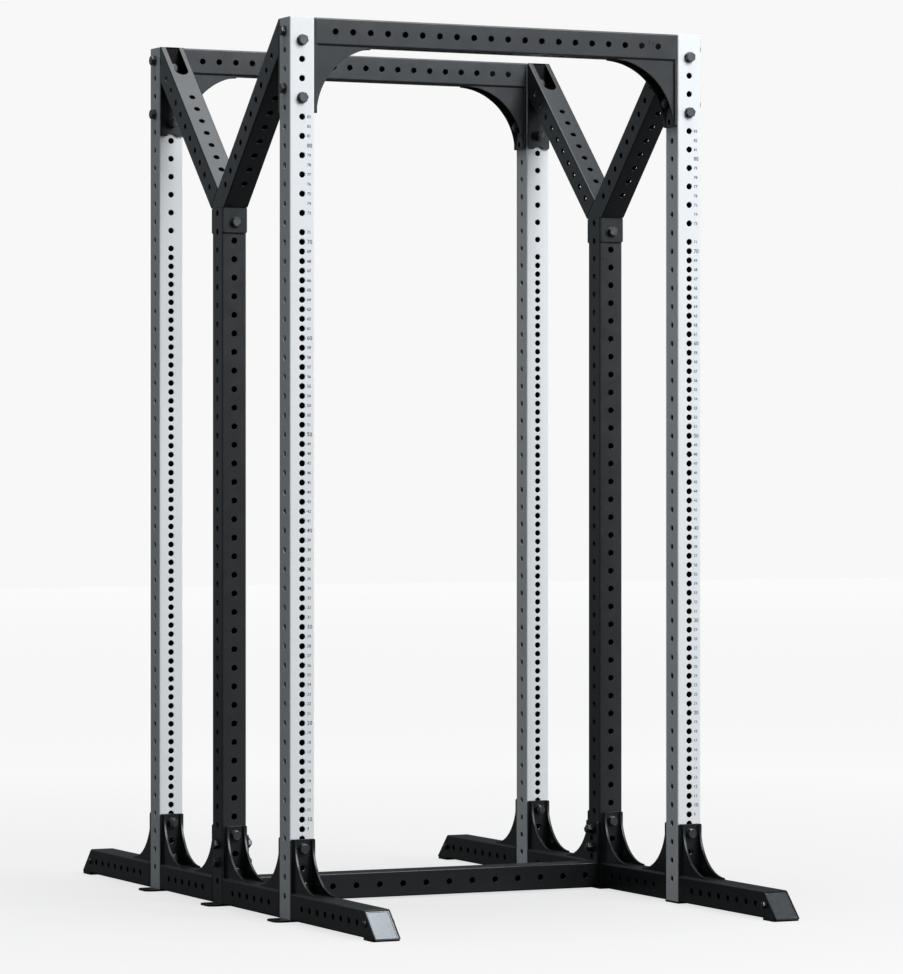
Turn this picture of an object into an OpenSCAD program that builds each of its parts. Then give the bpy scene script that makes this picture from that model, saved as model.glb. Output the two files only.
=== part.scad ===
// Free-standing six-post power cage, in millimetres.
// +Z is up, -Y is the front, and the origin is on the floor under the middle of the frame.
// Holes are counted from the floor up, one number for each pitch, so hole 92 is the top one.

/* [Frame] */
// Centre distance between the left and the right uprights
post_spacing = 1140; // [940:10:1400]
// Centre distance from one upright to the next, front to back
bay_depth = 462; // [385:1:580]
// Number of the top hole of the outer uprights
top_hole = 92; // [80:2:112]
// Number of the last hole of the close rows on the front and rear faces
close_rows_end = 71; // [41:2:71]

/* [Tube] */
// Outer width of every square tube
tube = 70; // [66:0.5:76]
// Wall of every square tube
wall = 3; // [2:0.25:4]
// Outer corner radius of the tubes
corner_r = 4; // [3.5:0.25:6]

/* [Holes] */
// Distance between neighbouring holes
pitch = 25; // [25:0.5:30]
// Clearance of a bolt in its hole
hole_gap = 0.5; // [0.2:0.1:1.5]
// Distance between the holes of the bottom crossmember
bottom_pitch = 70; // [40:5:100]

/* [Bolts] */
// Shank diameter of the frame bolts
bolt_d = 16; // [12:0.5:16]
// Width across the flats of the hexagon heads and nuts
hex_af = 24; // [20:0.5:25]
// Height of the hexagon heads
head_h = 10; // [6:0.5:12]
// Height of the nuts
nut_h = 13; // [8:0.5:15]
// Outer diameter of the washers
washer_d = 29; // [26:0.5:29.5]
// Thickness of the washers
washer_t = 3; // [2:0.25:4]
// Length of the shank that stands out of the nut
bolt_tail = 4; // [2:0.5:8]
// Shank diameter of the screws at the tips of the feet
screw_d = 10; // [8:0.5:12]
// Diameter of the round screw heads
screw_head_d = 18; // [14:0.5:22]
// Height of the round screw heads
screw_head_h = 6; // [4:0.5:8]
// Width across the flats of the screws' nuts
screw_nut_af = 17; // [15:0.5:19]
// Height of the screws' nuts
screw_nut_h = 8; // [5:0.5:10]

/* [Plates] */
// Thickness of the flange plates that lie on the uprights
flange_t = 8; // [6:0.5:10]
// Distance from the edges of a flange plate to the sides of the tube
flange_inset = 1; // [0.5:0.25:3]
// Corner radius of the flange plates
flange_r = 4; // [2:0.5:6]
// Thickness of the curved gusset plates
gusset_t = 6; // [4:0.5:8]
// Distance from a gusset plate to the side of its tube
gusset_inset = 7; // [5:0.5:9]

/* [Top crossmembers] */
// Distance from the lowest hole of the end flanges to their lower edge
top_flange_edge = 13; // [12:0.5:25]
// Distance from that edge down to the middle of the gusset arcs
top_arc_drop = 8; // [0:0.5:12]
// Width of the gussets beside the flange, at their narrowest
top_arc_gap = 1; // [0.5:0.5:6]
// Thickness of the gusset tip under the tube
top_tip = 3; // [2:0.5:8]
// Length that the gussets stop short of the end of the arc
top_arc_cut = 7; // [4:0.5:12]
// Distance from the outermost hole to the upright, at least
top_hole_margin = 60; // [40:5:90]
// Width of the slot that gives access to the upper bolt, in crossmembers and braces
slot_w = 40; // [34:1:46]
// Length of the slot on top of the crossmembers
cross_slot_l = 70; // [60:1:90]

/* [Y-braces] */
// Slope of the two arms
arm_angle = 45; // [40:1:48]
// Distance from the notched hole up to the lower edge of the upper flanges
notch_rise = 12; // [10.5:0.5:14]
// Radius of the notch that clears the hole under the flange
notch_r = 20; // [16:0.5:24]
// Radius of the shoulders of that notch
shoulder_r = 6; // [3:0.5:8]
// Length of the slot in the upper face of an arm, along the arm
arm_slot_l = 117.5; // [90:0.5:140]
// First hole in the sides of an arm, along the arm from its top corner
arm_side_start = 97.5; // [90:0.5:120]
// First hole in the upper face of an arm, along the arm from its top corner
arm_face_start = 212.5; // [160:0.5:240]
// Distance from the last side hole to the crotch, at least
arm_side_margin = 35; // [30:1:60]
// Distance from the last face hole to the crotch, at least
arm_face_margin = 65; // [50:1:80]
// Overhang of the arms in front of and behind the saddle plates
arm_overhang = 5; // [1:0.5:8]
// Distance from the saddle bolt to the bottom of the saddle plates
saddle_drop = 29; // [20:1:40]
// Distance from the saddle bolt to the top of the middle uprights, at least
saddle_edge = 30; // [25:1:40]
// Steel left over the top side hole of the middle uprights, at least
side_edge = 5; // [4:0.5:12]

/* [Base] */
// Thickness of the floor plates, which is the height of the tubes over the floor
floor_plate_t = 5; // [4:0.5:8]
// Distance that the anchor tabs stand out beside the uprights
tab_reach = 40; // [30:1:60]
// How far the floor plates stand out in front of and behind the uprights
tab_side = 2; // [0.5:0.5:12]
// Corner radius of the anchor tabs
tab_r = 20; // [8:1:28]
// Diameter of the anchor holes
anchor_d = 14; // [10:0.5:18]
// Height of the spigots that hold the floor plates in the uprights
spigot_h = 22; // [12:1:24]
// Gap between a spigot and the inside of its tube
spigot_gap = 0.5; // [0.2:0.1:1]
// Width of the base gussets beside the top of the flange
base_arc_gap = 7; // [4:0.5:15]
// Thickness of the gusset tip on the tube
base_tip = 5; // [2:0.5:8]
// Length of the top face of a foot, from the upright
foot_l = 471; // [400:1:560]
// Slope of the slanted end of a foot
foot_slope = 45; // [40:1:50]
// Distance from the upright to the first hole in a foot
foot_hole_start = 77.5; // [60:0.5:100]
// How far the last hole of a foot, which holds the screw, may lie beyond the top corner
foot_hole_reach = 10; // [0:1:12]
// Distance from the upper bolt of the bottom crossmember to the top of its flanges
bottom_flange_edge = 24; // [18:0.5:30]
// Distance from the outermost hole of the bottom crossmember to the upright, at least
bottom_hole_margin = 40; // [30:5:90]

/* [Caps and shoes] */
// Thickness of the end caps in the feet
cap_t = 4; // [2:0.5:6]
// Depth of the end caps behind the edge of the tube, square to the slant
cap_recess = 1.5; // [0.5:0.25:4]
// Length of the rubber shoes along the foot
shoe_l = 60; // [40:1:80]
// Distance from the lower tip of the foot to the front of its shoe
shoe_setback = 10; // [6:1:20]
// Height of the shoe's lips over the bottom of the tube
shoe_lip = 5; // [2:0.5:8]
// Thickness of the shoe's lips
shoe_lip_t = 1.5; // [1:0.25:3]
// Height of the plugs in the tops of the uprights
plug_h = 16; // [10:1:18]
// Wall of the plugs
plug_wall = 2.5; // [1.5:0.25:4]

/* [Hidden] */
$fn = 48;
eps = 1;
hole_d = bolt_d + hole_gap;
half_w = post_spacing / 2;
half_tube = tube / 2;
inner_half = half_w - half_tube;
inner_r = max(corner_r - wall, 0.5);
flange_w = tube - 2 * flange_inset;
post_top = hole_z(top_hole) + half_tube;

// Holes used at each joint, counted down from the top hole,
// or up from the lowest odd one whose washer clears the base tubes
cross_bolt_holes = [top_hole, top_hole - 6];
cross_free_holes = [top_hole - 4, top_hole - 8];
brace_bolt_holes = [top_hole - 1, top_hole - 7];
notch_hole = top_hole - 9;
base_low = odd_above(1 + (half_tube + washer_d / 2) / pitch);
base_bolt_holes = [base_low + 4, base_low];
base_free_hole = base_low + 2;
bottom_bolt_holes = [base_low + 3, base_low + 1];
bottom_free_holes = [base_low + 2, base_low];

// Gussets: each arc ends at the tip on the tube and beside the flange
top_flange_low = hole_z(min(cross_free_holes)) - top_flange_edge;
top_arc_z = top_flange_low - top_arc_drop;
top_arc_r = post_top - tube - top_tip - top_arc_z;
top_arc_x = half_tube + flange_t + top_arc_gap + top_arc_r;
base_flange_top = hole_z(base_low + 5);
base_arc_r = base_flange_top - hole_z(1) - half_tube - base_tip;
base_arc_x = half_tube + flange_t + base_arc_gap + base_arc_r;

// Front arm of a Y-brace, in the frame of its middle upright
arm_corner_y = -(bay_depth - half_tube - flange_t);
arm_drop = tube / cos(arm_angle);
arm_run = -arm_corner_y / cos(arm_angle);
crotch_z = post_top + arm_corner_y * tan(arm_angle);
saddle_y = half_tube + flange_t;
mid_top = arm_upper_z(-(saddle_y + arm_overhang)) - arm_drop;
saddle_hole = odd_below((mid_top - saddle_edge - hole_z(0)) / pitch);
mid_top_hole = 2 * floor((mid_top - hole_d / 2 - side_edge - hole_z(0)) / pitch / 2);

// Feet: the lower edge reaches further than the upper one by the run of the slant
tip_run = tube / tan(foot_slope);
foot_hole_step = 2 * pitch;
foot_holes = 1 + floor((foot_l + foot_hole_reach - foot_hole_start) / foot_hole_step);
screw_y = foot_hole_start + (foot_holes - 1) * foot_hole_step;

function hole_z(n) = floor_plate_t + half_tube + (n - 1) * pitch;
function arm_upper_z(y) = post_top - (y - arm_corner_y) * tan(arm_angle);
function odd_below(v) = 2 * floor((v - 1) / 2) + 1;
function odd_above(v) = 2 * ceil((v - 1) / 2) + 1;

SIDES = [-1, 1];
ROWS = [-1, 0, 1];
ENDS = [-1, 1];

// ---------------------------------------------------------------- shared shapes

// Square with rounded corners, centred
module rounded_square(size_x, size_y, r) {
    square([size_x - 2 * r, size_y], center = true);
    square([size_x, size_y - 2 * r], center = true);
    for (x = SIDES, y = SIDES)
        translate([x * (size_x / 2 - r), y * (size_y / 2 - r)])
            circle(r = r);
}

module tube_outline() {
    rounded_square(tube, tube, corner_r);
}

module tube_inside() {
    rounded_square(tube - 2 * wall, tube - 2 * wall, inner_r);
}

// Square tube along +Z, centred on the Z axis
module square_tube(length) {
    linear_extrude(height = length)
        difference() {
            tube_outline();
            tube_inside();
        }
}

// Round cutter along X through anything near the origin
module bore_x(d = hole_d, reach = tube) {
    rotate([0, 90, 0])
        cylinder(d = d, h = 2 * reach, center = true);
}

module bore_y(d = hole_d, reach = tube) {
    rotate([90, 0, 0])
        cylinder(d = d, h = 2 * reach, center = true);
}

// Flange plate that lies on the +X face of an upright, from z_low to z_high
module flange_x(z_low, z_high) {
    translate([half_tube, 0, (z_low + z_high) / 2])
        rotate([0, 90, 0])
            linear_extrude(height = flange_t)
                rounded_square(z_high - z_low, flange_w, flange_r);
}

// Two gusset plates beside a tube that runs along +X.
// The corner is at the face of the upright and the far side of the plates is a concave arc.
module gusset_pair(x_far, z_tube, z_far, arc_r, arc_x, arc_z) {
    for (y = SIDES)
        translate([0, y * (half_tube - gusset_inset - gusset_t / 2), 0])
            rotate([90, 0, 0])
                linear_extrude(height = gusset_t, center = true)
                    difference() {
                        translate([half_tube + flange_t / 2, min(z_tube, z_far)])
                            square([x_far - half_tube - flange_t / 2, abs(z_far - z_tube)]);
                        translate([arc_x, arc_z])
                            circle(r = arc_r, $fn = 96);
                    }
}

// ---------------------------------------------------------------- uprights

module outer_upright() {
    difference() {
        difference() {
            translate([0, 0, floor_plate_t])
                square_tube(post_top - floor_plate_t);
            for (n = [1 : 1 : close_rows_end])
                translate([0, 0, hole_z(n)]) bore_y();
            for (n = [close_rows_end + 2 : 2 : top_hole - 1])
                translate([0, 0, hole_z(n)]) bore_y();
        }
        for (n = [2 : 2 : top_hole])
            translate([0, 0, hole_z(n)]) bore_x();
    }
}

module middle_upright() {
    difference() {
        difference() {
            translate([0, 0, floor_plate_t])
                square_tube(mid_top - floor_plate_t);
            for (n = [1 : 2 : saddle_hole])
                translate([0, 0, hole_z(n)]) bore_y();
        }
        for (n = [2 : 2 : mid_top_hole])
            translate([0, 0, hole_z(n)]) bore_x();
    }
}

// ---------------------------------------------------------------- crossmembers

// Crossmember along X, with its middle on the Z axis
module top_crossmember() {
    side_holes = floor((inner_half - top_hole_margin - pitch) / (2 * pitch));
    face_holes = floor((inner_half - top_hole_margin) / (2 * pitch));
    tube_half_l = inner_half - flange_t / 2;
    tube_z = post_top - half_tube;
    slot_straight = cross_slot_l - slot_w / 2;
    difference() {
        difference() {
            union() {
                translate([-tube_half_l, 0, tube_z])
                    rotate([0, 90, 0]) square_tube(2 * tube_half_l);
                for (s = SIDES)
                    mirror([s > 0 ? 1 : 0, 0, 0])
                        translate([-half_w, 0, 0]) {
                            flange_x(top_flange_low, post_top);
                            gusset_pair(top_arc_x - top_arc_cut, post_top - tube, top_flange_low,
                                        top_arc_r, top_arc_x, top_arc_z);
                        }
            }
            for (i = [0 : side_holes], s = SIDES)
                translate([s * (2 * i + 1) * pitch, 0, tube_z]) bore_y();
        }
        for (i = [-face_holes : face_holes])
            translate([2 * i * pitch, 0, tube_z])
                cylinder(d = hole_d, h = 2 * tube, center = true);
        for (n = concat(cross_bolt_holes, cross_free_holes), s = SIDES)
            translate([s * (inner_half - flange_t / 2), 0, hole_z(n)])
                bore_x(reach = flange_t);
        for (s = SIDES)
            translate([s * (inner_half - flange_t - slot_straight / 2), 0, post_top - wall / 2])
                cube([slot_straight, slot_w, wall + 2 * eps], center = true);
        for (s = SIDES)
            translate([s * (inner_half - flange_t - slot_straight), 0, post_top - wall - eps])
                cylinder(d = slot_w, h = wall + 2 * eps);
    }
}

module bottom_crossmember() {
    tube_half_l = inner_half - flange_t / 2;
    tube_z = hole_z(1);
    side_holes = floor((inner_half - bottom_hole_margin) / bottom_pitch);
    difference() {
        union() {
            translate([-tube_half_l, 0, tube_z])
                rotate([0, 90, 0]) square_tube(2 * tube_half_l);
            for (s = SIDES)
                mirror([s > 0 ? 1 : 0, 0, 0])
                    translate([-half_w, 0, 0])
                        flange_x(floor_plate_t, hole_z(max(bottom_bolt_holes)) + bottom_flange_edge);
        }
        for (i = [-side_holes : side_holes])
            translate([i * bottom_pitch, 0, tube_z]) bore_y();
        for (n = concat(bottom_bolt_holes, bottom_free_holes), s = SIDES)
            translate([s * (inner_half - flange_t / 2), 0, hole_z(n)])
                bore_x(reach = flange_t);
    }
}

// ---------------------------------------------------------------- Y-braces

// Puts its children in the frame of the front arm: +Z along the arm from the top corner,
// +Y from the upper face to the under face
module arm_frame() {
    translate([0, arm_corner_y, post_top])
        rotate([-90 - arm_angle, 0, 0])
            children();
}

// Front arm, longer than it is in the end at both ends
module front_arm() {
    arm_frame()
        translate([0, half_tube, -2 * tube])
            square_tube(arm_run + 4 * tube);
}

// Everything under the upper face of the front arm, where the rear arm is cut away
module under_front_arm_face() {
    arm_frame()
        translate([-tube, 0, -4 * tube])
            cube([2 * tube, 6 * tube, arm_run + 8 * tube]);
}

// Everything under the rear arm, where the front arm ends
module under_rear_arm() {
    mirror([0, 1, 0])
        arm_frame()
            translate([-tube, tube, -4 * tube])
                cube([2 * tube, 4 * tube, arm_run + 8 * tube]);
}

// Block that trims both arms: between the flange plates, and over the top of the middle upright
module arm_limits() {
    reach_y = -arm_corner_y + flange_t / 2;
    translate([-tube, -reach_y, mid_top])
        cube([2 * tube, 2 * reach_y, post_top - mid_top]);
}

module arm_holes() {
    side_count = floor((arm_run - arm_side_margin - arm_side_start) / (2 * pitch));
    arm_frame()
        for (i = [0 : side_count])
            translate([0, half_tube, arm_side_start + 2 * i * pitch]) bore_x();
}

module arm_face_holes() {
    face_count = floor((arm_run - arm_face_margin - arm_face_start) / (2 * pitch));
    arm_frame() {
        for (i = [0 : face_count])
            translate([0, half_tube, arm_face_start + 2 * i * pitch])
                rotate([90, 0, 0]) cylinder(d = hole_d, h = tube + 2 * eps, center = true);
        translate([-slot_w / 2, -tube, 0])
            cube([slot_w, tube + wall + eps, arm_slot_l - slot_w / 2]);
        translate([0, wall + eps, arm_slot_l - slot_w / 2])
            rotate([90, 0, 0]) cylinder(d = slot_w, h = tube);
    }
}

// Outline of the notch in the bottom edge of an upper flange, around the hole below it.
// The edge is at y = 0 and the hole is at y = -rise.
module notch_outline(rise) {
    reach = notch_r + shoulder_r;
    shoulder_x = sqrt(pow(reach, 2) - pow(rise + shoulder_r, 2));
    touch_y = (rise + shoulder_r) * notch_r / reach - rise;
    translate([0, -rise]) circle(r = notch_r);
    difference() {
        translate([-shoulder_x, -eps]) square([2 * shoulder_x, touch_y + eps]);
        for (s = SIDES)
            translate([s * shoulder_x, shoulder_r]) circle(r = shoulder_r);
    }
}

module brace_flange() {
    flange_low = hole_z(notch_hole) + notch_rise;
    difference() {
        rotate([0, 0, 90]) flange_x(flange_low, post_top);
        translate([0, half_tube + flange_t / 2, flange_low])
            rotate([90, 0, 0])
                linear_extrude(height = 2 * flange_t, center = true)
                    notch_outline(notch_rise);
    }
}

module saddle_plate() {
    plate_low = hole_z(saddle_hole) - saddle_drop;
    rotate([0, 0, 90])
        flange_x(plate_low, mid_top);
}

module y_brace() {
    difference() {
        union() {
            // the front arm runs through and the rear arm stands on its upper face
            intersection() {
                difference() {
                    front_arm();
                    under_rear_arm();
                }
                arm_limits();
            }
            intersection() {
                difference() {
                    mirror([0, 1, 0]) front_arm();
                    under_front_arm_face();
                }
                arm_limits();
            }
            for (s = SIDES)
                mirror([0, s > 0 ? 1 : 0, 0]) {
                    translate([0, -bay_depth, 0]) brace_flange();
                    mirror([0, 1, 0]) saddle_plate();
                }
        }
        for (s = SIDES)
            mirror([0, s > 0 ? 1 : 0, 0]) arm_holes();
        for (s = SIDES)
            mirror([0, s > 0 ? 1 : 0, 0]) arm_face_holes();
        for (n = brace_bolt_holes, s = SIDES)
            translate([0, s * (bay_depth - half_tube - flange_t / 2), hole_z(n)])
                bore_y(reach = flange_t / 2 + eps);
        translate([0, 0, hole_z(saddle_hole)]) bore_y();
    }
}

// ---------------------------------------------------------------- base

// Flange and gussets of a base tube that runs along +X from an upright at the origin
module base_end() {
    flange_x(floor_plate_t, base_flange_top);
    gusset_pair(base_arc_x, floor_plate_t + tube, base_flange_top,
                base_arc_r, base_arc_x, base_flange_top);
}

module base_end_holes() {
    for (n = concat(base_bolt_holes, [base_free_hole]))
        translate([half_tube + flange_t / 2, 0, hole_z(n)])
            bore_x(reach = flange_t);
}

// Side rail along +X between an upright at the origin and the next one
module side_rail_along_x() {
    rail_l = bay_depth - tube - flange_t;
    difference() {
        union() {
            translate([half_tube + flange_t / 2, 0, hole_z(1)])
                rotate([0, 90, 0]) square_tube(rail_l);
            base_end();
            translate([bay_depth, 0, 0]) mirror([1, 0, 0]) base_end();
        }
        for (i = [-5 : 2 : 5])
            translate([bay_depth / 2 + i * pitch, 0, hole_z(1)]) bore_y();
        base_end_holes();
        translate([bay_depth, 0, 0]) mirror([1, 0, 0]) base_end_holes();
    }
}

// Side of a foot with its slanted end, moved back by inset square to the slant
module foot_side_outline(inset) {
    back = inset / sin(foot_slope);
    polygon([
        [0, 0],
        [half_tube + foot_l + tip_run - back, 0],
        [half_tube + foot_l - back, tube],
        [0, tube],
    ]);
}

// Block with that side, as wide as a foot or wider
module foot_trim(inset = 0) {
    translate([0, 0, floor_plate_t])
        rotate([90, 0, 0])
            linear_extrude(height = 2 * tube, center = true)
                foot_side_outline(inset);
}

// Foot along +X from an upright at the origin
module foot_along_x() {
    difference() {
        union() {
            intersection() {
                translate([half_tube + flange_t / 2, 0, hole_z(1)])
                    rotate([0, 90, 0]) square_tube(foot_l + tip_run);
                foot_trim();
            }
            base_end();
        }
        for (i = [0 : foot_holes - 2])
            translate([half_tube + foot_hole_start + i * foot_hole_step, 0, hole_z(1)]) bore_y();
        translate([half_tube + screw_y, 0, hole_z(1)])
            bore_y(d = screw_d + hole_gap);
        base_end_holes();
    }
}

module end_cap_along_x() {
    intersection() {
        translate([half_tube + foot_l - tip_run, 0, hole_z(1)])
            rotate([0, 90, 0])
                linear_extrude(height = 3 * tip_run) tube_inside();
        difference() {
            foot_trim(cap_recess);
            foot_trim(cap_recess + cap_t);
        }
    }
}

module rubber_shoe_along_x() {
    x_front = half_tube + foot_l + tip_run - shoe_setback;
    shoe_w = tube + 2 * shoe_lip_t;
    difference() {
        translate([x_front - shoe_l, -shoe_w / 2, 0])
            cube([shoe_l, shoe_w, floor_plate_t + shoe_lip]);
        translate([x_front - shoe_l - eps, 0, hole_z(1)])
            rotate([0, 90, 0])
                linear_extrude(height = shoe_l + 2 * eps) tube_outline();
    }
}

// Floor plate of an upright at the origin, with its tab towards +X
module floor_plate_along_x() {
    plate_l = tube + tab_reach;
    tab_w = tube + 2 * tab_side;
    difference() {
        union() {
            translate([-half_tube, -tab_w / 2, 0])
                cube([plate_l - tab_r, tab_w, floor_plate_t]);
            translate([-half_tube, -tab_w / 2 + tab_r, 0])
                cube([plate_l, tab_w - 2 * tab_r, floor_plate_t]);
            for (s = SIDES)
                translate([plate_l - half_tube - tab_r, s * (tab_w / 2 - tab_r), 0])
                    cylinder(r = tab_r, h = floor_plate_t);
            translate([0, 0, floor_plate_t / 2])
                linear_extrude(height = floor_plate_t / 2 + spigot_h)
                    spigot_outline();
        }
        translate([half_tube + tab_reach / 2, 0, -eps])
            cylinder(d = anchor_d, h = floor_plate_t + 2 * eps);
        translate([0, 0, floor_plate_t + eps])
            linear_extrude(height = spigot_h)
                spigot_hollow();
    }
}

module spigot_outline() {
    spigot_w = tube - 2 * wall - 2 * spigot_gap;
    rounded_square(spigot_w, spigot_w, inner_r);
}

module spigot_hollow() {
    hollow_w = tube - 2 * wall - 2 * spigot_gap - 2 * plug_wall;
    square([hollow_w, hollow_w], center = true);
}

module top_plug() {
    difference() {
        translate([0, 0, post_top - plug_h])
            linear_extrude(height = plug_h) tube_inside();
        translate([0, 0, post_top - plug_h - eps])
            linear_extrude(height = plug_h + eps - plug_wall)
                square(tube - 2 * wall - 2 * plug_wall, center = true);
    }
}

// ---------------------------------------------------------------- fasteners, head at -Z side

// Bolt along +Z whose clamped stack starts at z = 0 and is grip long
module hex_bolt(grip) {
    translate([0, 0, -washer_t - head_h])
        cylinder(d = hex_af / cos(30), h = head_h, $fn = 6);
    translate([0, 0, -washer_t - head_h / 2])
        cylinder(d = bolt_d, h = head_h / 2 + 2 * washer_t + grip + nut_h + bolt_tail);
}

module washer() {
    difference() {
        cylinder(d = washer_d, h = washer_t);
        translate([0, 0, -eps]) cylinder(d = hole_d, h = washer_t + 2 * eps);
    }
}

module washer_pair(grip) {
    translate([0, 0, -washer_t]) washer();
    translate([0, 0, grip]) washer();
}

module hex_nut(grip) {
    translate([0, 0, grip + washer_t])
        difference() {
            cylinder(d = hex_af / cos(30), h = nut_h, $fn = 6);
            translate([0, 0, -eps]) cylinder(d = bolt_d, h = nut_h + 2 * eps);
        }
}

// Screw with a domed head, through the tip of a foot
module tip_screw() {
    head_half = screw_head_d / 2;
    dome_r = (pow(head_half, 2) + pow(screw_head_h, 2)) / (2 * screw_head_h);
    rotate_extrude()
        intersection() {
            translate([0, dome_r - screw_head_h]) circle(r = dome_r, $fn = 96);
            translate([0, -screw_head_h]) square([head_half, screw_head_h]);
        }
    translate([0, 0, -eps])
        cylinder(d = screw_d, h = tube + eps + screw_nut_h + bolt_tail / 2);
}

module tip_nut() {
    translate([0, 0, tube])
        difference() {
            cylinder(d = screw_nut_af / cos(30), h = screw_nut_h, $fn = 6);
            translate([0, 0, -eps]) cylinder(d = screw_d, h = screw_nut_h + 2 * eps);
        }
}

// Where the fasteners of each joint sit: the children's +Z points from head to nut

module crossmember_joint() {
    for (x = SIDES, y = ENDS, n = cross_bolt_holes)
        translate([x * (half_w + half_tube), y * bay_depth, hole_z(n)])
            rotate([0, -90 * x, 0]) children();
}

module brace_upper_joint() {
    for (x = SIDES, y = ENDS, n = brace_bolt_holes)
        translate([x * half_w, y * (bay_depth + half_tube), hole_z(n)])
            rotate([90 * y, 0, 0]) children();
}

module brace_saddle_joint() {
    for (x = SIDES)
        translate([x * half_w, -saddle_y, hole_z(saddle_hole)])
            rotate([-90, 0, 0]) children();
}

// Bolts of the feet start on the foot's flange, those of the middle start on the front rail's
module base_joint() {
    for (x = SIDES, y = ROWS, n = base_bolt_holes) {
        side = y > 0 ? 1 : -1;
        translate([x * half_w, y * bay_depth + side * saddle_y, hole_z(n)])
            rotate([90 * side, 0, 0]) children();
    }
}

module bottom_crossmember_joint() {
    for (x = SIDES, n = bottom_bolt_holes)
        translate([x * (half_w + half_tube), 0, hole_z(n)])
            rotate([0, -90 * x, 0]) children();
}

module foot_tip_joint() {
    for (x = SIDES, y = ENDS)
        translate([x * (half_w + half_tube), y * (bay_depth + half_tube + screw_y), hole_z(1)])
            rotate([0, -90 * x, 0]) children();
}

// ---------------------------------------------------------------- placing and colours

module at_corner(x, y) {
    translate([x * half_w, y * bay_depth, 0]) children();
}

// Turns a piece that runs along +X so that it runs to the front (-1) or to the rear (1)
module along_y(y) {
    rotate([0, 0, 90 * y]) children();
}

module silver() { color([0.87, 0.88, 0.90]) children(); }
module black() { color([0.17, 0.18, 0.19]) children(); }
module dark_zinc() { color([0.36, 0.37, 0.38]) children(); }
module rubber() { color([0.05, 0.05, 0.05]) children(); }
module steel_cap() { color([0.62, 0.64, 0.67]) children(); }

module upright_outer(x, y) { silver() at_corner(x, y) outer_upright(); }
module upright_middle(x) { black() at_corner(x, 0) middle_upright(); }
module crossmember_top(y) { black() at_corner(0, y) top_crossmember(); }
module crossmember_bottom() { black() bottom_crossmember(); }
module brace(x) { black() at_corner(x, 0) y_brace(); }
module foot(x, y) { black() at_corner(x, y) along_y(y) foot_along_x(); }
module side_rail(x, y) { black() at_corner(x, 0) along_y(y) side_rail_along_x(); }
module end_cap(x, y) { steel_cap() at_corner(x, y) along_y(y) end_cap_along_x(); }
module rubber_shoe(x, y) { rubber() at_corner(x, y) along_y(y) rubber_shoe_along_x(); }
module floor_plate(x, y) { black() at_corner(x, y) rotate([0, 0, x > 0 ? 0 : 180]) floor_plate_along_x(); }
module upright_plug(x, y) { rubber() at_corner(x, y) top_plug(); }

// Fasteners by joint: the grip is the upright and one or two flange plates
one_plate_grip = tube + flange_t;
two_plate_grip = tube + 2 * flange_t;

module crossmember_bolts() { dark_zinc() crossmember_joint() hex_bolt(one_plate_grip); }
module crossmember_washers() { dark_zinc() crossmember_joint() washer_pair(one_plate_grip); }
module crossmember_nuts() { dark_zinc() crossmember_joint() hex_nut(one_plate_grip); }
module brace_upper_bolts() { dark_zinc() brace_upper_joint() hex_bolt(one_plate_grip); }
module brace_upper_washers() { dark_zinc() brace_upper_joint() washer_pair(one_plate_grip); }
module brace_upper_nuts() { dark_zinc() brace_upper_joint() hex_nut(one_plate_grip); }
module brace_saddle_bolts() { dark_zinc() brace_saddle_joint() hex_bolt(two_plate_grip); }
module brace_saddle_washers() { dark_zinc() brace_saddle_joint() washer_pair(two_plate_grip); }
module brace_saddle_nuts() { dark_zinc() brace_saddle_joint() hex_nut(two_plate_grip); }
module base_bolts() { dark_zinc() base_joint() hex_bolt(two_plate_grip); }
module base_washers() { dark_zinc() base_joint() washer_pair(two_plate_grip); }
module base_nuts() { dark_zinc() base_joint() hex_nut(two_plate_grip); }
module bottom_crossmember_bolts() { dark_zinc() bottom_crossmember_joint() hex_bolt(one_plate_grip); }
module bottom_crossmember_washers() { dark_zinc() bottom_crossmember_joint() washer_pair(one_plate_grip); }
module bottom_crossmember_nuts() { dark_zinc() bottom_crossmember_joint() hex_nut(one_plate_grip); }
module foot_tip_screws() { dark_zinc() foot_tip_joint() tip_screw(); }
module foot_tip_nuts() { dark_zinc() foot_tip_joint() tip_nut(); }

upright_outer(-1, -1);  // upright_front_left
upright_outer(1, -1);  // upright_front_right
upright_outer(-1, 1);  // upright_rear_left
upright_outer(1, 1);  // upright_rear_right
upright_middle(-1);  // upright_middle_left
upright_middle(1);  // upright_middle_right
crossmember_top(-1);  // top_crossmember_front
crossmember_top(1);  // top_crossmember_rear
crossmember_bottom();  // bottom_crossmember
brace(-1);  // y_brace_left
brace(1);  // y_brace_right
foot(-1, -1);  // foot_front_left
foot(1, -1);  // foot_front_right
foot(-1, 1);  // foot_rear_left
foot(1, 1);  // foot_rear_right
side_rail(-1, -1);  // side_rail_front_left
side_rail(1, -1);  // side_rail_front_right
side_rail(-1, 1);  // side_rail_rear_left
side_rail(1, 1);  // side_rail_rear_right
end_cap(-1, -1);  // end_cap_front_left
end_cap(1, -1);  // end_cap_front_right
end_cap(-1, 1);  // end_cap_rear_left
end_cap(1, 1);  // end_cap_rear_right
rubber_shoe(-1, -1);  // rubber_shoe_front_left
rubber_shoe(1, -1);  // rubber_shoe_front_right
rubber_shoe(-1, 1);  // rubber_shoe_rear_left
rubber_shoe(1, 1);  // rubber_shoe_rear_right
floor_plate(-1, -1);  // floor_plate_front_left
floor_plate(1, -1);  // floor_plate_front_right
floor_plate(-1, 0);  // floor_plate_middle_left
floor_plate(1, 0);  // floor_plate_middle_right
floor_plate(-1, 1);  // floor_plate_rear_left
floor_plate(1, 1);  // floor_plate_rear_right
upright_plug(-1, -1);  // top_plug_front_left
upright_plug(1, -1);  // top_plug_front_right
upright_plug(-1, 1);  // top_plug_rear_left
upright_plug(1, 1);  // top_plug_rear_right
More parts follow.
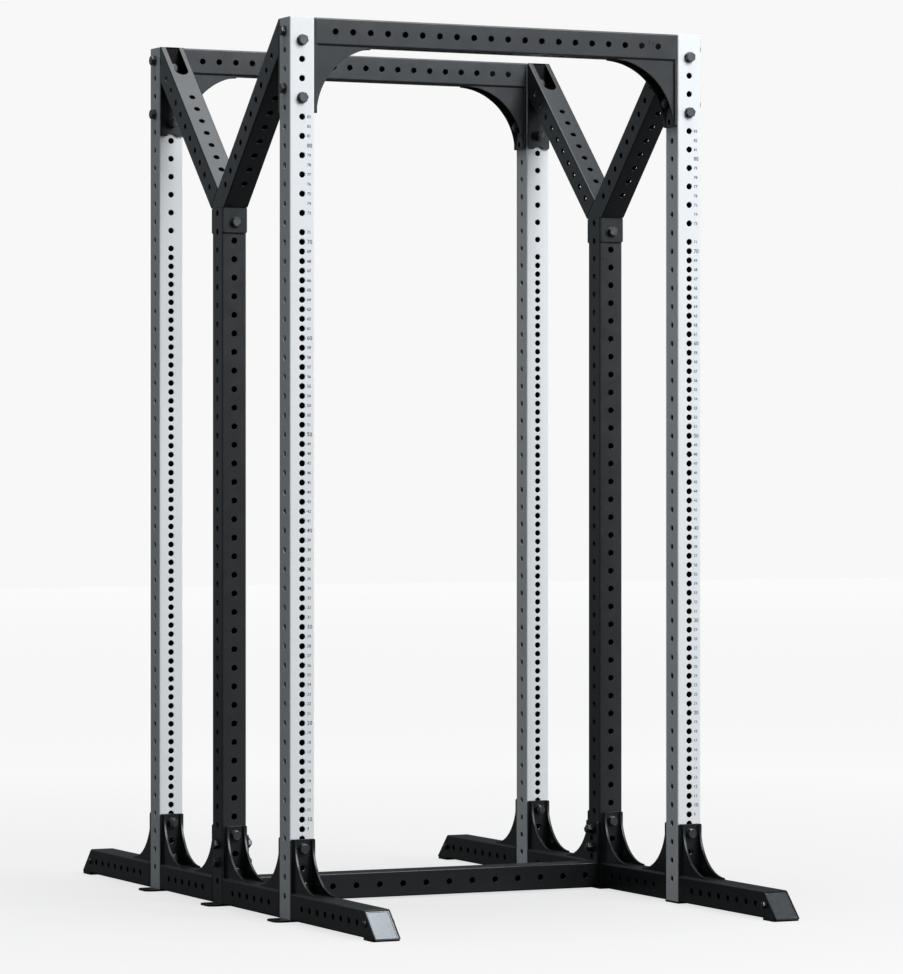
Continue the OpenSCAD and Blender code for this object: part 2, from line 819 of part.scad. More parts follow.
crossmember_bolts();
crossmember_washers();
crossmember_nuts();
brace_upper_bolts();
brace_upper_washers();
brace_upper_nuts();
brace_saddle_bolts();
brace_saddle_washers();
brace_saddle_nuts();
base_bolts();
base_washers();
base_nuts();
bottom_crossmember_bolts();
bottom_crossmember_washers();
bottom_crossmember_nuts();
foot_tip_screws();
foot_tip_nuts();
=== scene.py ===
"""Finished surfaces of a six-post power cage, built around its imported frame."""

import math

import bmesh
import bpy
from mathutils import Matrix, Vector


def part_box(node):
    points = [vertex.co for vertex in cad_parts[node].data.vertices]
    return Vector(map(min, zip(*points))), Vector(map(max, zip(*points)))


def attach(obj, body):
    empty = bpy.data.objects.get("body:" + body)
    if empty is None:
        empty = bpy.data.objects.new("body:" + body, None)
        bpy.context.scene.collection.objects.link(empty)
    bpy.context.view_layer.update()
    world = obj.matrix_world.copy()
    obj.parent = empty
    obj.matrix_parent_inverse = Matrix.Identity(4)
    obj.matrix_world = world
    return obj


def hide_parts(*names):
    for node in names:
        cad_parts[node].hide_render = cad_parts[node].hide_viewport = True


bl_info = {
    "name": "Power Cage",
    "version": (1, 0, 0),
    "blender": (4, 5, 0),
    "location": "View3D > Sidebar > Power Cage",
    "description": "Builds the tubes, braces, fasteners and finishes of a six-post power cage",
    "category": "Object",
}

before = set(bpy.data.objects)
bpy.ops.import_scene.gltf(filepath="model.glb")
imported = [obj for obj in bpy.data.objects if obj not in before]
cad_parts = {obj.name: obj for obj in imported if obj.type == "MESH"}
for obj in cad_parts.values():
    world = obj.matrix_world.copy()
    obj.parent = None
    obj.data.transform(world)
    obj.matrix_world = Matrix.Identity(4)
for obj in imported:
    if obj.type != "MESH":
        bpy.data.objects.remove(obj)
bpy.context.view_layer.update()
BODY = "root"

FRONT_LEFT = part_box("upright_front_left")
MIDDLE_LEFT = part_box("upright_middle_left")
SIDES = (("left", -1), ("right", 1))
ENDS = (("front", -1), ("rear", 1))
ROWS = (("front", -1), ("middle", 0), ("rear", 1))

# How finely round shapes are divided
CORNER_STEPS = 6
HOLE_SIDES = 20
ROUND_SIDES = 24
ARC_STEPS = 40

# Small distances for cutting past a face, sinking into one and merging points
SLACK = 0.001
SINK = 0.0015
MERGE = 0.000002
SHARP_ANGLE = math.radians(28)

# Holes of a foot before the one in its tip, and the width of the slots in crossmembers and braces
FOOT_HOLES = 8
SLOT_WIDTH = 0.04

# The printed numbers, each laid down twice with a small shift to make it bold
LETTER_SCALE = 1.37
BOLD_SHIFT = (0.0004, -0.00001, 0)
PRINT_SINK = 0.00005
PRINT_MERGE = 0.000005
NUMBERS_OFFSET = 0.0135

# Fasteners
BOLT_RADIUS = 0.008
BOLT_FLATS = 0.024
WASHER = 0.003
NUT = 0.013
TIP_SCREW_RADIUS = 0.005
CHAMFER_SHARE = 0.95

# Tints and directions of the finishes
SHEEN_TINT = (0.90, 0.98, 1.04, 1)
EVEN = (1, 1, 1)
DRAWN_ALONG_X = (1, 0.06, 0.06)

# Turns and mirrors that shapes share
TURN_X = (0, math.pi / 2, 0)
TURN_Y = (math.pi / 2, 0, 0)
TURN_Z = (0, 0, 0)
ALONG_X = Matrix.Rotation(math.pi / 2, 4, "Y")
STAND_X = Matrix(((0, 0, 1, 0), (1, 0, 0, 0), (0, 1, 0, 0), (0, 0, 0, 1)))
MIRROR_X = Matrix.Scale(-1, 4, (1, 0, 0))
MIRROR_Y = Matrix.Scale(-1, 4, (0, 1, 0))


# ---------------------------------------------------------------- sizes and colours


def length(name, description, default):
    return bpy.props.FloatProperty(
        name=name, description=description, default=default, unit="LENGTH", subtype="DISTANCE"
    )


def colour(name, description, default):
    return bpy.props.FloatVectorProperty(
        name=name, description=description, default=default, size=3, min=0, max=1, subtype="COLOR"
    )


def count(name, description, default):
    return bpy.props.IntProperty(name=name, description=description, default=default, min=1)


def share(name, description, default):
    return bpy.props.FloatProperty(
        name=name, description=description, default=default, min=0, max=1, subtype="FACTOR"
    )


class CageSizes(bpy.types.PropertyGroup):
    """Sizes of the cage; the overall ones come from the frame"""

    tube: length("Tube", "Outer width of the square tubes", FRONT_LEFT[1].x - FRONT_LEFT[0].x)
    wall: length("Wall", "Wall of the square tubes", 0.003)
    corner: length("Corner Radius", "Outer corner radius of the tubes", 0.004)
    post_x: length(
        "Half Width", "From the middle to the side uprights", -(FRONT_LEFT[0].x + FRONT_LEFT[1].x) / 2
    )
    post_y: length("Bay Depth", "From one upright to the next", -(FRONT_LEFT[0].y + FRONT_LEFT[1].y) / 2)
    post_top: length("Height", "Height of the outer uprights", FRONT_LEFT[1].z)
    middle_top: length("Middle Height", "Height of the middle uprights", MIDDLE_LEFT[1].z)
    post_bottom: length("Floor Plate", "Thickness of the floor plates", FRONT_LEFT[0].z)
    pitch: length("Pitch", "Distance between neighbouring holes", 0.025)
    hole: length("Hole", "Diameter of the holes", 0.0165)
    edge_break: length("Edge Break", "Width of the softened edges of holes and cut ends", 0.0006)
    plate_edge: length("Plate Edge", "Width of the softened edges of plates", 0.0008)
    flange: length("Flange", "Thickness of the flange plates", 0.008)
    flange_inset: length("Flange Inset", "From the sides of a tube to the edges of its flange", 0.001)
    flange_corner: length("Flange Corner", "Corner radius of the flange plates", 0.004)
    gusset: length("Gusset", "Thickness of the gusset plates", 0.006)
    gusset_inset: length("Gusset Inset", "From the sides of a tube to its gussets", 0.007)
    weld: length("Weld Bead", "Radius of the weld beads", 0.0022)
    foot: length("Foot", "Length of a foot along its top", 0.471)
    foot_first: length("First Foot Hole", "From an upright to the first hole of its foot", 0.0775)


class CageHoles(bpy.types.PropertyGroup):
    """Numbers of the holes that start and end the rows, counted from the floor"""

    top: count("Top Hole", "Number of the top hole", 92)
    close_end: count("Close Rows End", "Last hole of the close rows", 71)
    middle_front: count("Middle Front", "Last front hole of the middle uprights", 73)
    middle_side: count("Middle Side", "Last side hole of the middle uprights", 74)
    first_number: count("First Number", "Lowest printed number", 9)
    last_number: count("Last Number", "Highest printed number", 83)


class CageColours(bpy.types.PropertyGroup):
    """Colours and gloss of the finishes"""

    silver: colour("Silver Coat", "Powder coat of the outer uprights", (0.675, 0.70, 0.725))
    black: colour("Black Coat", "Powder coat of the middle uprights and the base", (0.016, 0.0165, 0.0175))
    brace: colour("Brace Coat", "Powder coat of the braces and crossmembers", (0.012, 0.0127, 0.0137))
    base: colour("Base Coat", "Powder coat of the feet, rails and floor plates", (0.009, 0.0095, 0.0102))
    crossmember: colour("Crossmember Coat", "Powder coat of the top crossmembers", (0.020, 0.0208, 0.0222))
    zinc: colour("Dark Zinc", "Bolts, nuts and washers", (0.092, 0.097, 0.102))
    cap: colour("Cap Steel", "Slanted end caps of the feet", (0.215, 0.232, 0.25))
    # Dark inside of the tubes: bare steel, and painted shade that makes the holes look black
    inside: colour("Tube Inside", "Bare steel inside the tubes", (0.018, 0.018, 0.019))
    # Lighter than the black coat: partly the crossmembers' own tone, partly painted light for the brighter
    # sheen they show up high
    rubber: colour("Rubber", "Shoes and plugs", (0.010, 0.010, 0.010))
    ink: colour("Print", "Printed numbers", (0.008, 0.008, 0.009))
    silver_gloss: share("Silver Roughness", "Roughness of the silver coat", 0.42)
    black_gloss: share("Black Roughness", "Roughness of the black coat", 0.30)


class CageStage(bpy.types.PropertyGroup):
    """Floor and lights"""

    floor_size: length("Floor", "Width of the floor", 60.0)
    backdrop: share("Backdrop", "Brightness of the backdrop", 0.938)
    bounce: share("Floor Bounce", "Share of light that the floor sends back to the cage", 0.06)
    ambient: share("Ambient", "Light from all around", 0.17)
    reflected: share("Reflected", "Brightness of the surroundings in reflections", 0.25)
    front: bpy.props.FloatProperty(
        name="Front", description="Power of the high front light", default=1050.0, min=0, unit="POWER"
    )
    side: bpy.props.FloatProperty(
        name="Side", description="Power of the low light at the right", default=140.0, min=0, unit="POWER"
    )
    top: bpy.props.FloatProperty(
        name="Top", description="Power of the overhead light", default=180.0, min=0, unit="POWER"
    )


# ---------------------------------------------------------------- node trees


def add_node(tree, kind, inputs=None, **settings):
    """A new node with its settings made and its sockets filled or linked"""
    made = tree.nodes.new(kind)
    made.location = (190 * (len(tree.nodes) % 12), -260 * (len(tree.nodes) // 12))
    for key, value in settings.items():
        setattr(made, key, value)
    for key, value in (inputs or {}).items():
        if isinstance(value, bpy.types.NodeSocket):
            tree.links.new(value, made.inputs[key])
        else:
            made.inputs[key].default_value = value
    return made


def math_node(tree, operation, first, second=0.0):
    """The result of one sum"""
    return add_node(tree, "ShaderNodeMath", {0: first, 1: second}, operation=operation).outputs[0]


def new_tree(kind, name, inputs, outputs):
    """An empty node group with named sockets: its tree, input sockets and output sockets"""
    tree = bpy.data.node_groups.new(name, kind)
    for way, sockets in (("INPUT", inputs), ("OUTPUT", outputs)):
        for label, value_kind, *default in sockets:
            socket = tree.interface.new_socket(label, in_out=way, socket_type="NodeSocket" + value_kind)
            if default:
                socket.default_value = default[0]
    return tree, tree.nodes.new("NodeGroupInput").outputs, tree.nodes.new("NodeGroupOutput").inputs


def geometry_tree(name, inputs):
    """An empty modifier tree with named inputs"""
    shape = ("Geometry", "Geometry")
    tree, given, sink = new_tree("GeometryNodeTree", name, [shape, *inputs], [shape])
    tree.is_modifier = True
    return tree, given, sink


def shader_group(name, inputs, outputs):
    """An empty shader group that reads coordinates and a colour besides its other inputs"""
    common = [("Vector", "Vector"), ("Colour", "Color", (0.5, 0.5, 0.5, 1))]
    return new_tree("ShaderNodeTree", name, common + inputs, outputs)


def end_tree(tree, geometry, material, sink):
    """Ends a tree in Realize Instances and Set Material"""
    real = add_node(tree, "GeometryNodeRealizeInstances", {"Geometry": geometry})
    painted = add_node(tree, "GeometryNodeSetMaterial", {"Geometry": real.outputs[0], "Material": material})
    tree.links.new(painted.outputs[0], sink["Geometry"])


def punch_tree():
    """Punches one row of holes with softened edges through whatever the modifier is on"""
    tree, given, sink = geometry_tree(
        "Punched Row",
        [
            ("First Hole", "Vector"),
            ("Step", "Vector"),
            ("Holes", "Int", 1),
            ("Turn", "Vector"),
            ("Hole Radius", "Float", 0.008),
            ("Through", "Float", 0.07),
            ("Edge Break", "Float", 0.0006),
            ("Finish", "Material"),
        ],
    )
    round_bar = add_node(
        tree, "GeometryNodeMeshCylinder",
        {
            "Vertices": HOLE_SIDES, "Side Segments": 3,
            "Radius": given["Hole Radius"], "Depth": given["Through"],
        },
    )
    place = add_node(tree, "GeometryNodeInputPosition").outputs[0]
    parts = add_node(tree, "ShaderNodeSeparateXYZ", {0: place}).outputs
    half = math_node(tree, "MULTIPLY", given["Through"], 0.5)
    height = math_node(tree, "ABSOLUTE", parts["Z"])
    outer = math_node(tree, "GREATER_THAN", height, math_node(tree, "MULTIPLY", half, 0.5))
    flare = math_node(tree, "ADD", given["Edge Break"], SLACK)
    reach = math_node(
        tree, "ADD", math_node(tree, "SUBTRACT", half, given["Edge Break"]),
        math_node(tree, "MULTIPLY", outer, flare),
    )
    widen = math_node(
        tree, "ADD", 1.0,
        math_node(tree, "MULTIPLY", outer, math_node(tree, "DIVIDE", flare, given["Hole Radius"])),
    )
    moved = add_node(
        tree, "ShaderNodeCombineXYZ",
        {
            0: math_node(tree, "MULTIPLY", parts["X"], widen),
            1: math_node(tree, "MULTIPLY", parts["Y"], widen),
            2: math_node(tree, "MULTIPLY", math_node(tree, "SIGN", parts["Z"]), reach),
        },
    ).outputs[0]
    cutter = add_node(
        tree, "GeometryNodeSetPosition", {"Geometry": round_bar.outputs["Mesh"], "Position": moved}
    )
    line = add_node(
        tree, "GeometryNodeMeshLine",
        {"Count": given["Holes"], "Start Location": given["First Hole"], "Offset": given["Step"]},
        mode="OFFSET",
    )
    row = add_node(
        tree, "GeometryNodeInstanceOnPoints",
        {"Points": line.outputs[0], "Instance": cutter.outputs[0], "Rotation": given["Turn"]},
    )
    bars = add_node(tree, "GeometryNodeRealizeInstances", {"Geometry": row.outputs[0]})
    cut = add_node(
        tree, "GeometryNodeMeshBoolean", {"Mesh 1": given["Geometry"], "Mesh 2": bars.outputs[0]},
        operation="DIFFERENCE", solver="MANIFOLD",
    )
    end_tree(tree, cut.outputs[0], given["Finish"], sink)
    return tree


def fastener_tree():
    """Sets one fastener on every point, along the point's turn and spun by chance"""
    tree, given, sink = geometry_tree(
        "Fasteners on Points", [("Fastener", "Object"), ("Spin Seed", "Int", 1), ("Finish", "Material")],
    )
    shape = add_node(tree, "GeometryNodeObjectInfo", {"Object": given["Fastener"]})
    turn = add_node(tree, "GeometryNodeInputNamedAttribute", {"Name": "turn"}, data_type="FLOAT_VECTOR")
    placed = add_node(
        tree, "GeometryNodeInstanceOnPoints",
        {
            "Points": given["Geometry"], "Instance": shape.outputs["Geometry"],
            "Rotation": turn.outputs["Attribute"],
        },
    )
    chance = add_node(
        tree, "FunctionNodeRandomValue", {2: 0.0, 3: math.tau, "Seed": given["Spin Seed"]}, data_type="FLOAT"
    )
    spin = add_node(tree, "ShaderNodeCombineXYZ", {2: chance.outputs[1]})
    spun = add_node(
        tree, "GeometryNodeRotateInstances", {"Instances": placed.outputs[0], "Rotation": spin.outputs[0]}
    )
    end_tree(tree, spun.outputs[0], given["Finish"], sink)
    return tree


def number_tree():
    """Prints a column of numbers, one for each pitch, with taller tens"""
    tree, given, sink = geometry_tree(
        "Number Column",
        [
            ("First Number", "Int", 1),
            ("Numbers", "Int", 10),
            ("Left Out", "Int", 0),
            ("Start", "Vector"),
            ("Pitch", "Float", 0.025),
            ("Digit Height", "Float", 0.0082),
            ("Tens Height", "Float", 0.0108),
            ("Print Thickness", "Float", 0.0001),
            ("Finish", "Material"),
        ],
    )
    start = tree.nodes.new("GeometryNodeRepeatInput")
    stop = tree.nodes.new("GeometryNodeRepeatOutput")
    start.pair_with_output(stop)
    tree.links.new(given["Geometry"], start.inputs["Geometry"])
    tree.links.new(given["Numbers"], start.inputs["Iterations"])
    number = math_node(tree, "ADD", start.outputs["Iteration"], given["First Number"])
    tens = math_node(tree, "LESS_THAN", math_node(tree, "MODULO", number, 10.0), 0.5)
    size = add_node(
        tree, "GeometryNodeSwitch", {0: tens, 1: given["Digit Height"], 2: given["Tens Height"]},
        input_type="FLOAT",
    ).outputs[0]
    words = add_node(tree, "FunctionNodeValueToString", {"Value": number})
    text = add_node(
        tree, "GeometryNodeStringToCurves",
        {"String": words.outputs[0], "Size": math_node(tree, "MULTIPLY", size, LETTER_SCALE)},
        align_x="LEFT", align_y="MIDDLE",
    )
    outline = add_node(tree, "GeometryNodeRealizeInstances", {"Geometry": text.outputs["Curve Instances"]})
    simple = add_node(
        tree, "GeometryNodeSetSplineResolution", {"Geometry": outline.outputs[0], "Resolution": 3}
    )
    flat = add_node(tree, "GeometryNodeFillCurve", {"Curve": simple.outputs[0]}, mode="NGONS")
    raised = add_node(
        tree, "GeometryNodeExtrudeMesh",
        {"Mesh": flat.outputs[0], "Offset Scale": given["Print Thickness"], "Individual": False},
        mode="FACES",
    )
    back = add_node(tree, "GeometryNodeFlipFaces", {"Mesh": flat.outputs[0]})
    both = tree.nodes.new("GeometryNodeJoinGeometry")
    tree.links.new(raised.outputs["Mesh"], both.inputs[0])
    tree.links.new(back.outputs["Mesh"], both.inputs[0])
    closed = add_node(
        tree, "GeometryNodeMergeByDistance", {"Geometry": both.outputs[0], "Distance": PRINT_MERGE}
    )
    rise = math_node(tree, "MULTIPLY", start.outputs["Iteration"], given["Pitch"])
    up = add_node(tree, "ShaderNodeCombineXYZ", {2: rise}).outputs[0]
    where = add_node(tree, "ShaderNodeVectorMath", {0: given["Start"], 1: up}, operation="ADD").outputs[0]
    stood = add_node(
        tree, "GeometryNodeTransform",
        {"Geometry": closed.outputs[0], "Translation": where, "Rotation": (math.pi / 2, 0, 0)},
    )
    again = add_node(
        tree, "GeometryNodeTransform", {"Geometry": stood.outputs[0], "Translation": BOLD_SHIFT}
    )
    bold = tree.nodes.new("GeometryNodeJoinGeometry")
    tree.links.new(stood.outputs[0], bold.inputs[0])
    tree.links.new(again.outputs[0], bold.inputs[0])
    left_out = add_node(
        tree, "ShaderNodeMath", {0: number, 1: given["Left Out"], 2: 0.1}, operation="COMPARE"
    ).outputs[0]
    kept = add_node(
        tree, "GeometryNodeSwitch", {"Switch": left_out, "False": bold.outputs[0]}, input_type="GEOMETRY"
    )
    joined = tree.nodes.new("GeometryNodeJoinGeometry")
    tree.links.new(start.outputs["Geometry"], joined.inputs[0])
    tree.links.new(kept.outputs[0], joined.inputs[0])
    tree.links.new(joined.outputs[0], stop.inputs["Geometry"])
    end_tree(tree, stop.outputs["Geometry"], given["Finish"], sink)
    return tree


def weld_tree():
    """Lays an uneven weld bead along every path of edges"""
    tree, given, sink = geometry_tree(
        "Weld Beads",
        [("Bead Radius", "Float", 0.0022), ("Ripple", "Float", 0.0034), ("Finish", "Material")],
    )
    path = add_node(tree, "GeometryNodeMeshToCurve", {"Mesh": given["Geometry"]})
    even = add_node(
        tree, "GeometryNodeResampleCurve", {"Curve": path.outputs[0], "Length": given["Ripple"]},
        mode="LENGTH",
    )
    index = add_node(tree, "GeometryNodeInputIndex").outputs[0]
    thin, change = 0.84, 0.22
    swell = math_node(tree, "MULTIPLY", math_node(tree, "MODULO", index, 2.0), change)
    swell = math_node(tree, "ADD", swell, thin)
    profile = add_node(
        tree, "GeometryNodeCurvePrimitiveCircle", {"Resolution": 6, "Radius": given["Bead Radius"]}
    )
    bead = add_node(
        tree, "GeometryNodeCurveToMesh",
        {"Curve": even.outputs[0], "Profile Curve": profile.outputs[0], "Scale": swell, "Fill Caps": True},
    )
    end_tree(tree, bead.outputs[0], given["Finish"], sink)
    return tree


def tree_named(name, maker):
    """The node group of that name, made when it is first asked for"""
    return bpy.data.node_groups.get(name) or maker()


# ---------------------------------------------------------------- meshes


def mesh_from(bm, name="part"):
    """A mesh with its doubles merged and its faces outwards"""
    bmesh.ops.remove_doubles(bm, verts=bm.verts, dist=MERGE)
    bmesh.ops.recalc_face_normals(bm, faces=bm.faces)
    mesh = bpy.data.meshes.new(name)
    bm.to_mesh(mesh)
    bm.free()
    return mesh


def ring_shell(rings, caps=True):
    """Closed shell through rings of equally many points; without caps the last ring meets the first"""
    bm = bmesh.new()
    loops = [[bm.verts.new(p) for p in ring] for ring in rings]
    pairs = list(zip(loops, loops[1:]))
    if not caps:
        pairs.append((loops[-1], loops[0]))
    for low, high in pairs:
        for i in range(len(low)):
            j = (i + 1) % len(low)
            bm.faces.new((low[i], low[j], high[j], high[i]))
    if caps:
        bm.faces.new(loops[0][::-1])
        bm.faces.new(loops[-1])
    return mesh_from(bm)


def plate_outline(width, height, radius, steps=4):
    """Outline of a plate with rounded corners, centred"""
    points = []
    for quarter, (sx, sy) in enumerate(((1, 1), (-1, 1), (-1, -1), (1, -1))):
        for step in range(steps + 1):
            angle = (quarter + step / steps) * math.pi / 2
            x = sx * (width / 2 - radius) + radius * math.cos(angle)
            points.append((x, sy * (height / 2 - radius) + radius * math.sin(angle)))
    return points


def rounded_square(size, radius, z):
    """Ring of a rounded square at height z"""
    return [(x, y, z) for x, y in plate_outline(size, size, radius, CORNER_STEPS)]


def circle(radius, z, sides=ROUND_SIDES):
    """Ring of points at height z"""
    angles = [math.tau * i / sides for i in range(sides)]
    return [(radius * math.cos(angle), radius * math.sin(angle), z) for angle in angles]


def tube_mesh(sizes, low, high):
    """Square tube along Z with softened cut ends"""
    e = sizes.edge_break
    inner = sizes.tube - 2 * sizes.wall
    inner_r = max(sizes.corner - sizes.wall, 0.0005)
    rings = [
        rounded_square(sizes.tube - 2 * e, sizes.corner - e, low),
        rounded_square(sizes.tube, sizes.corner, low + e),
        rounded_square(sizes.tube, sizes.corner, high - e),
        rounded_square(sizes.tube - 2 * e, sizes.corner - e, high), rounded_square(inner, inner_r, high),
        rounded_square(inner, inner_r, low),
    ]
    return ring_shell(rings, caps=False)


def slab(outline, thickness, edge):
    """Plate with softened edges, its outline in the XY plane and its middle at z = 0"""
    bm = bmesh.new()
    low = [bm.verts.new((x, y, -thickness / 2)) for x, y in outline]
    high = [bm.verts.new((x, y, thickness / 2)) for x, y in outline]
    bm.faces.new(low[::-1])
    bm.faces.new(high)
    for i in range(len(low)):
        j = (i + 1) % len(low)
        bm.faces.new((low[i], low[j], high[j], high[i]))
    bmesh.ops.recalc_face_normals(bm, faces=bm.faces)
    if edge > 0:
        rims = [e for e in bm.edges if abs(e.verts[0].co.z - e.verts[1].co.z) < thickness / 4]
        bmesh.ops.bevel(bm, geom=rims, offset=edge, segments=2, profile=0.6, affect="EDGES")
    return mesh_from(bm)


def block(low, high):
    """Plain box, used only to trim other meshes"""
    bm = bmesh.new()
    bmesh.ops.create_cube(bm, size=1)
    for v in bm.verts:
        for axis in range(3):
            v.co[axis] = (low[axis], high[axis])[v.co[axis] > 0]
    return mesh_from(bm)


def moved(mesh, matrix):
    """The mesh, moved by a matrix, with its faces still outwards after a mirror"""
    mesh.transform(matrix)
    if matrix.determinant() < 0:
        mesh.flip_normals()
    return mesh


def copy_moved(mesh, matrix):
    """A copy of the mesh, moved by a matrix"""
    return moved(mesh.copy(), matrix)


def holder_of(mesh):
    """A short-lived object that carries a mesh through its modifiers"""
    holder = bpy.data.objects.new("holder", mesh)
    bpy.context.scene.collection.objects.link(holder)
    return holder


def evaluated(holder):
    """The plain mesh that an object's modifiers give; the object is removed"""
    bpy.context.view_layer.update()
    depsgraph = bpy.context.evaluated_depsgraph_get()
    made = bpy.data.meshes.new_from_object(holder.evaluated_get(depsgraph))
    bpy.data.objects.remove(holder)
    if not made.polygons:
        raise RuntimeError("a modifier left an empty mesh")
    return made


def combined(mesh, others, operation):
    """The mesh joined with, cut by or kept inside others"""
    holder = holder_of(mesh)
    helpers = [holder_of(other) for other in others]
    for helper in helpers:
        step = holder.modifiers.new("step", "BOOLEAN")
        step.operation = operation
        step.solver = "MANIFOLD"
        step.object = helper
    made = evaluated(holder)
    for helper in helpers:
        bpy.data.objects.remove(helper)
    return made


def add_tree(holder, tree, values):
    """Puts a tree on an object, with its inputs set by their identifiers"""
    names = {s.name: s.identifier for s in tree.interface.items_tree if s.in_out == "INPUT"}
    step = holder.modifiers.new(tree.name, "NODES")
    step.node_group = tree
    for name, value in values.items():
        step[names[name]] = value


def punched(mesh, rows, sizes, coat):
    """The mesh with rows of holes: (first hole, step, holes, turn, through, diameter)"""
    holder = holder_of(mesh)
    for first, step, holes, turn, through, diameter in rows:
        add_tree(
            holder, tree_named("Punched Row", punch_tree),
            {
                "First Hole": tuple(first),
                "Step": tuple(step),
                "Holes": holes,
                "Turn": tuple(turn),
                "Hole Radius": diameter / 2,
                "Through": through,
                "Edge Break": sizes.edge_break,
                "Finish": coat,
            },
        )
    return evaluated(holder)


def joined(meshes):
    """One mesh with the shells of all; each keeps its material"""
    bm = bmesh.new()
    materials = []
    for mesh in meshes:
        start = len(bm.faces)
        bm.from_mesh(mesh)
        bm.faces.ensure_lookup_table()
        own = list(mesh.materials)
        for face in bm.faces[start:]:
            material = own[face.material_index] if own else None
            if material not in materials:
                materials.append(material)
            face.material_index = materials.index(material)
    made = bpy.data.meshes.new("joined")
    bm.to_mesh(made)
    bm.free()
    for material in materials:
        made.materials.append(material)
    return made


def piece(name, mesh, replaces=()):
    """The finished object: smooth where it is round, at the origin and on its body"""
    bm = bmesh.new()
    bm.from_mesh(mesh)
    open_edges = sum(len(e.link_faces) != 2 for e in bm.edges)
    bm.free()
    if open_edges:
        raise RuntimeError(f"{name} has {open_edges} edges that aren't closed")
    for face in mesh.polygons:
        face.use_smooth = True
    mesh.set_sharp_from_angle(angle=SHARP_ANGLE)
    mesh.name = name
    made = bpy.data.objects.new(name, mesh)
    bpy.context.scene.collection.objects.link(made)
    even = made.modifiers.new("even shading", "WEIGHTED_NORMAL")
    even.keep_sharp = True
    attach(made, BODY)
    if replaces:
        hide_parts(*replaces)
    return made


# ---------------------------------------------------------------- shapes of this cage


def hole_z(sizes, number):
    """Height of a numbered hole"""
    return sizes.post_bottom + sizes.tube / 2 + (number - 1) * sizes.pitch


def flange_mesh(sizes, low, high):
    """Flange plate on the +X face of an upright at the origin, from z low to z high"""
    width = sizes.tube - 2 * sizes.flange_inset
    mesh = slab(plate_outline(width, high - low, sizes.flange_corner), sizes.flange, sizes.plate_edge)
    place = Matrix.Translation((sizes.tube / 2 + sizes.flange / 2, 0, (low + high) / 2))
    return moved(mesh, place @ STAND_X)


def gusset_meshes(sizes, far_x, tube_z, far_z, arc_r, arc_x, arc_z):
    """Two gusset plates beside a tube along +X, with a concave arc away from the corner"""
    near_x = sizes.tube / 2 + sizes.flange / 2
    way = 1 if far_z > tube_z else -1
    base_z = tube_z - way * SINK
    outline = [(near_x, far_z), (near_x, base_z), (far_x, base_z)]
    start = math.acos((arc_x - far_x) / arc_r)
    end = math.asin(way * (arc_z - far_z) / arc_r)
    for i in range(ARC_STEPS + 1):
        angle = start + (end - start) * i / ARC_STEPS
        outline.append((arc_x - arc_r * math.cos(angle), arc_z - way * arc_r * math.sin(angle)))
    plates = []
    for side in (-1, 1):
        mesh = slab(outline, sizes.gusset, sizes.plate_edge)
        y = side * (sizes.tube / 2 - sizes.gusset_inset - sizes.gusset / 2)
        plates.append(moved(mesh, Matrix.Translation((0, y, 0)) @ Matrix.Rotation(math.pi / 2, 4, "X")))
    return plates


def path_mesh(paths):
    """Edges along paths of points"""
    mesh = bpy.data.meshes.new("paths")
    points, edges = [], []
    for path in paths:
        edges += [(len(points) + i, len(points) + i + 1) for i in range(len(path) - 1)]
        points += [tuple(p) for p in path]
    mesh.from_pydata(points, edges, [])
    return mesh


def weld_mesh(sizes, paths, coat):
    """Weld beads along paths of points"""
    holder = holder_of(path_mesh(paths))
    add_tree(holder, tree_named("Weld Beads", weld_tree), {"Bead Radius": sizes.weld, "Finish": coat})
    return evaluated(holder)


def end_weld_paths(sizes, tube_z, far_x, far_z):
    """Where the gussets and the tube end of a joint are welded, on an upright at the origin"""
    face_x = sizes.tube / 2 + sizes.flange
    from_flange, from_tip = 0.004, 0.002
    paths = []
    for side in (-1, 1):
        for step in (-1, 1):
            y = side * (sizes.tube / 2 - sizes.gusset_inset - sizes.gusset / 2) + step * sizes.gusset / 2
            paths.append([(face_x + from_flange, y, tube_z), (far_x - from_tip, y, tube_z)])
            paths.append([(face_x, y, tube_z), (face_x, y, far_z)])
    return paths


def line_inside_with_painted_shade(mesh, sizes, axes=(Matrix(),)):
    """Gives the inside of square tubes dark bare steel, which also serves as painted shade that makes the
    holes look black; each tube runs along Z of its axes
    """
    mesh.materials.append(finish("Bare Tube Inside"))
    reach = sizes.tube / 2 - sizes.wall + SLACK / 10
    for axis in axes:
        back = axis.inverted()
        local = [back @ v.co for v in mesh.vertices]
        for face in mesh.polygons:
            if all(max(abs(local[i].x), abs(local[i].y)) < reach for i in face.vertices):
                face.material_index = len(mesh.materials) - 1
    return mesh


def upright_rows(sizes, front_rows, side_rows):
    """Rows of holes in an upright: each is (first number, step, last number)"""
    rows = []
    for turn, runs in ((TURN_Y, front_rows), (TURN_X, side_rows)):
        for first, step, last in runs:
            holes = (last - first) // step + 1
            start = (0, 0, hole_z(sizes, first))
            rows.append((start, (0, 0, step * sizes.pitch), holes, turn, sizes.tube, sizes.hole))
    return rows


def notch_outline(rise, radius, shoulder, below):
    """Outline of the notch in a flange's lower edge, which is at y = 0 with the hole at y = -rise"""
    reach = radius + shoulder
    side = math.sqrt(reach**2 - (rise + shoulder) ** 2)
    meet = math.atan2(rise + shoulder, side)
    points = [(-side, -below), (-side, 0)]
    for i in range(1, CORNER_STEPS + 1):
        angle = -math.pi / 2 + (math.pi / 2 - meet) * i / CORNER_STEPS
        points.append((-side + shoulder * math.cos(angle), shoulder + shoulder * math.sin(angle)))
    for i in range(1, ROUND_SIDES):
        angle = math.pi - meet - (math.pi - 2 * meet) * i / ROUND_SIDES
        points.append((radius * math.cos(angle), -rise + radius * math.sin(angle)))
    mirrored = [(-x, y) for x, y in points[: CORNER_STEPS + 2]]
    return points + mirrored[::-1]


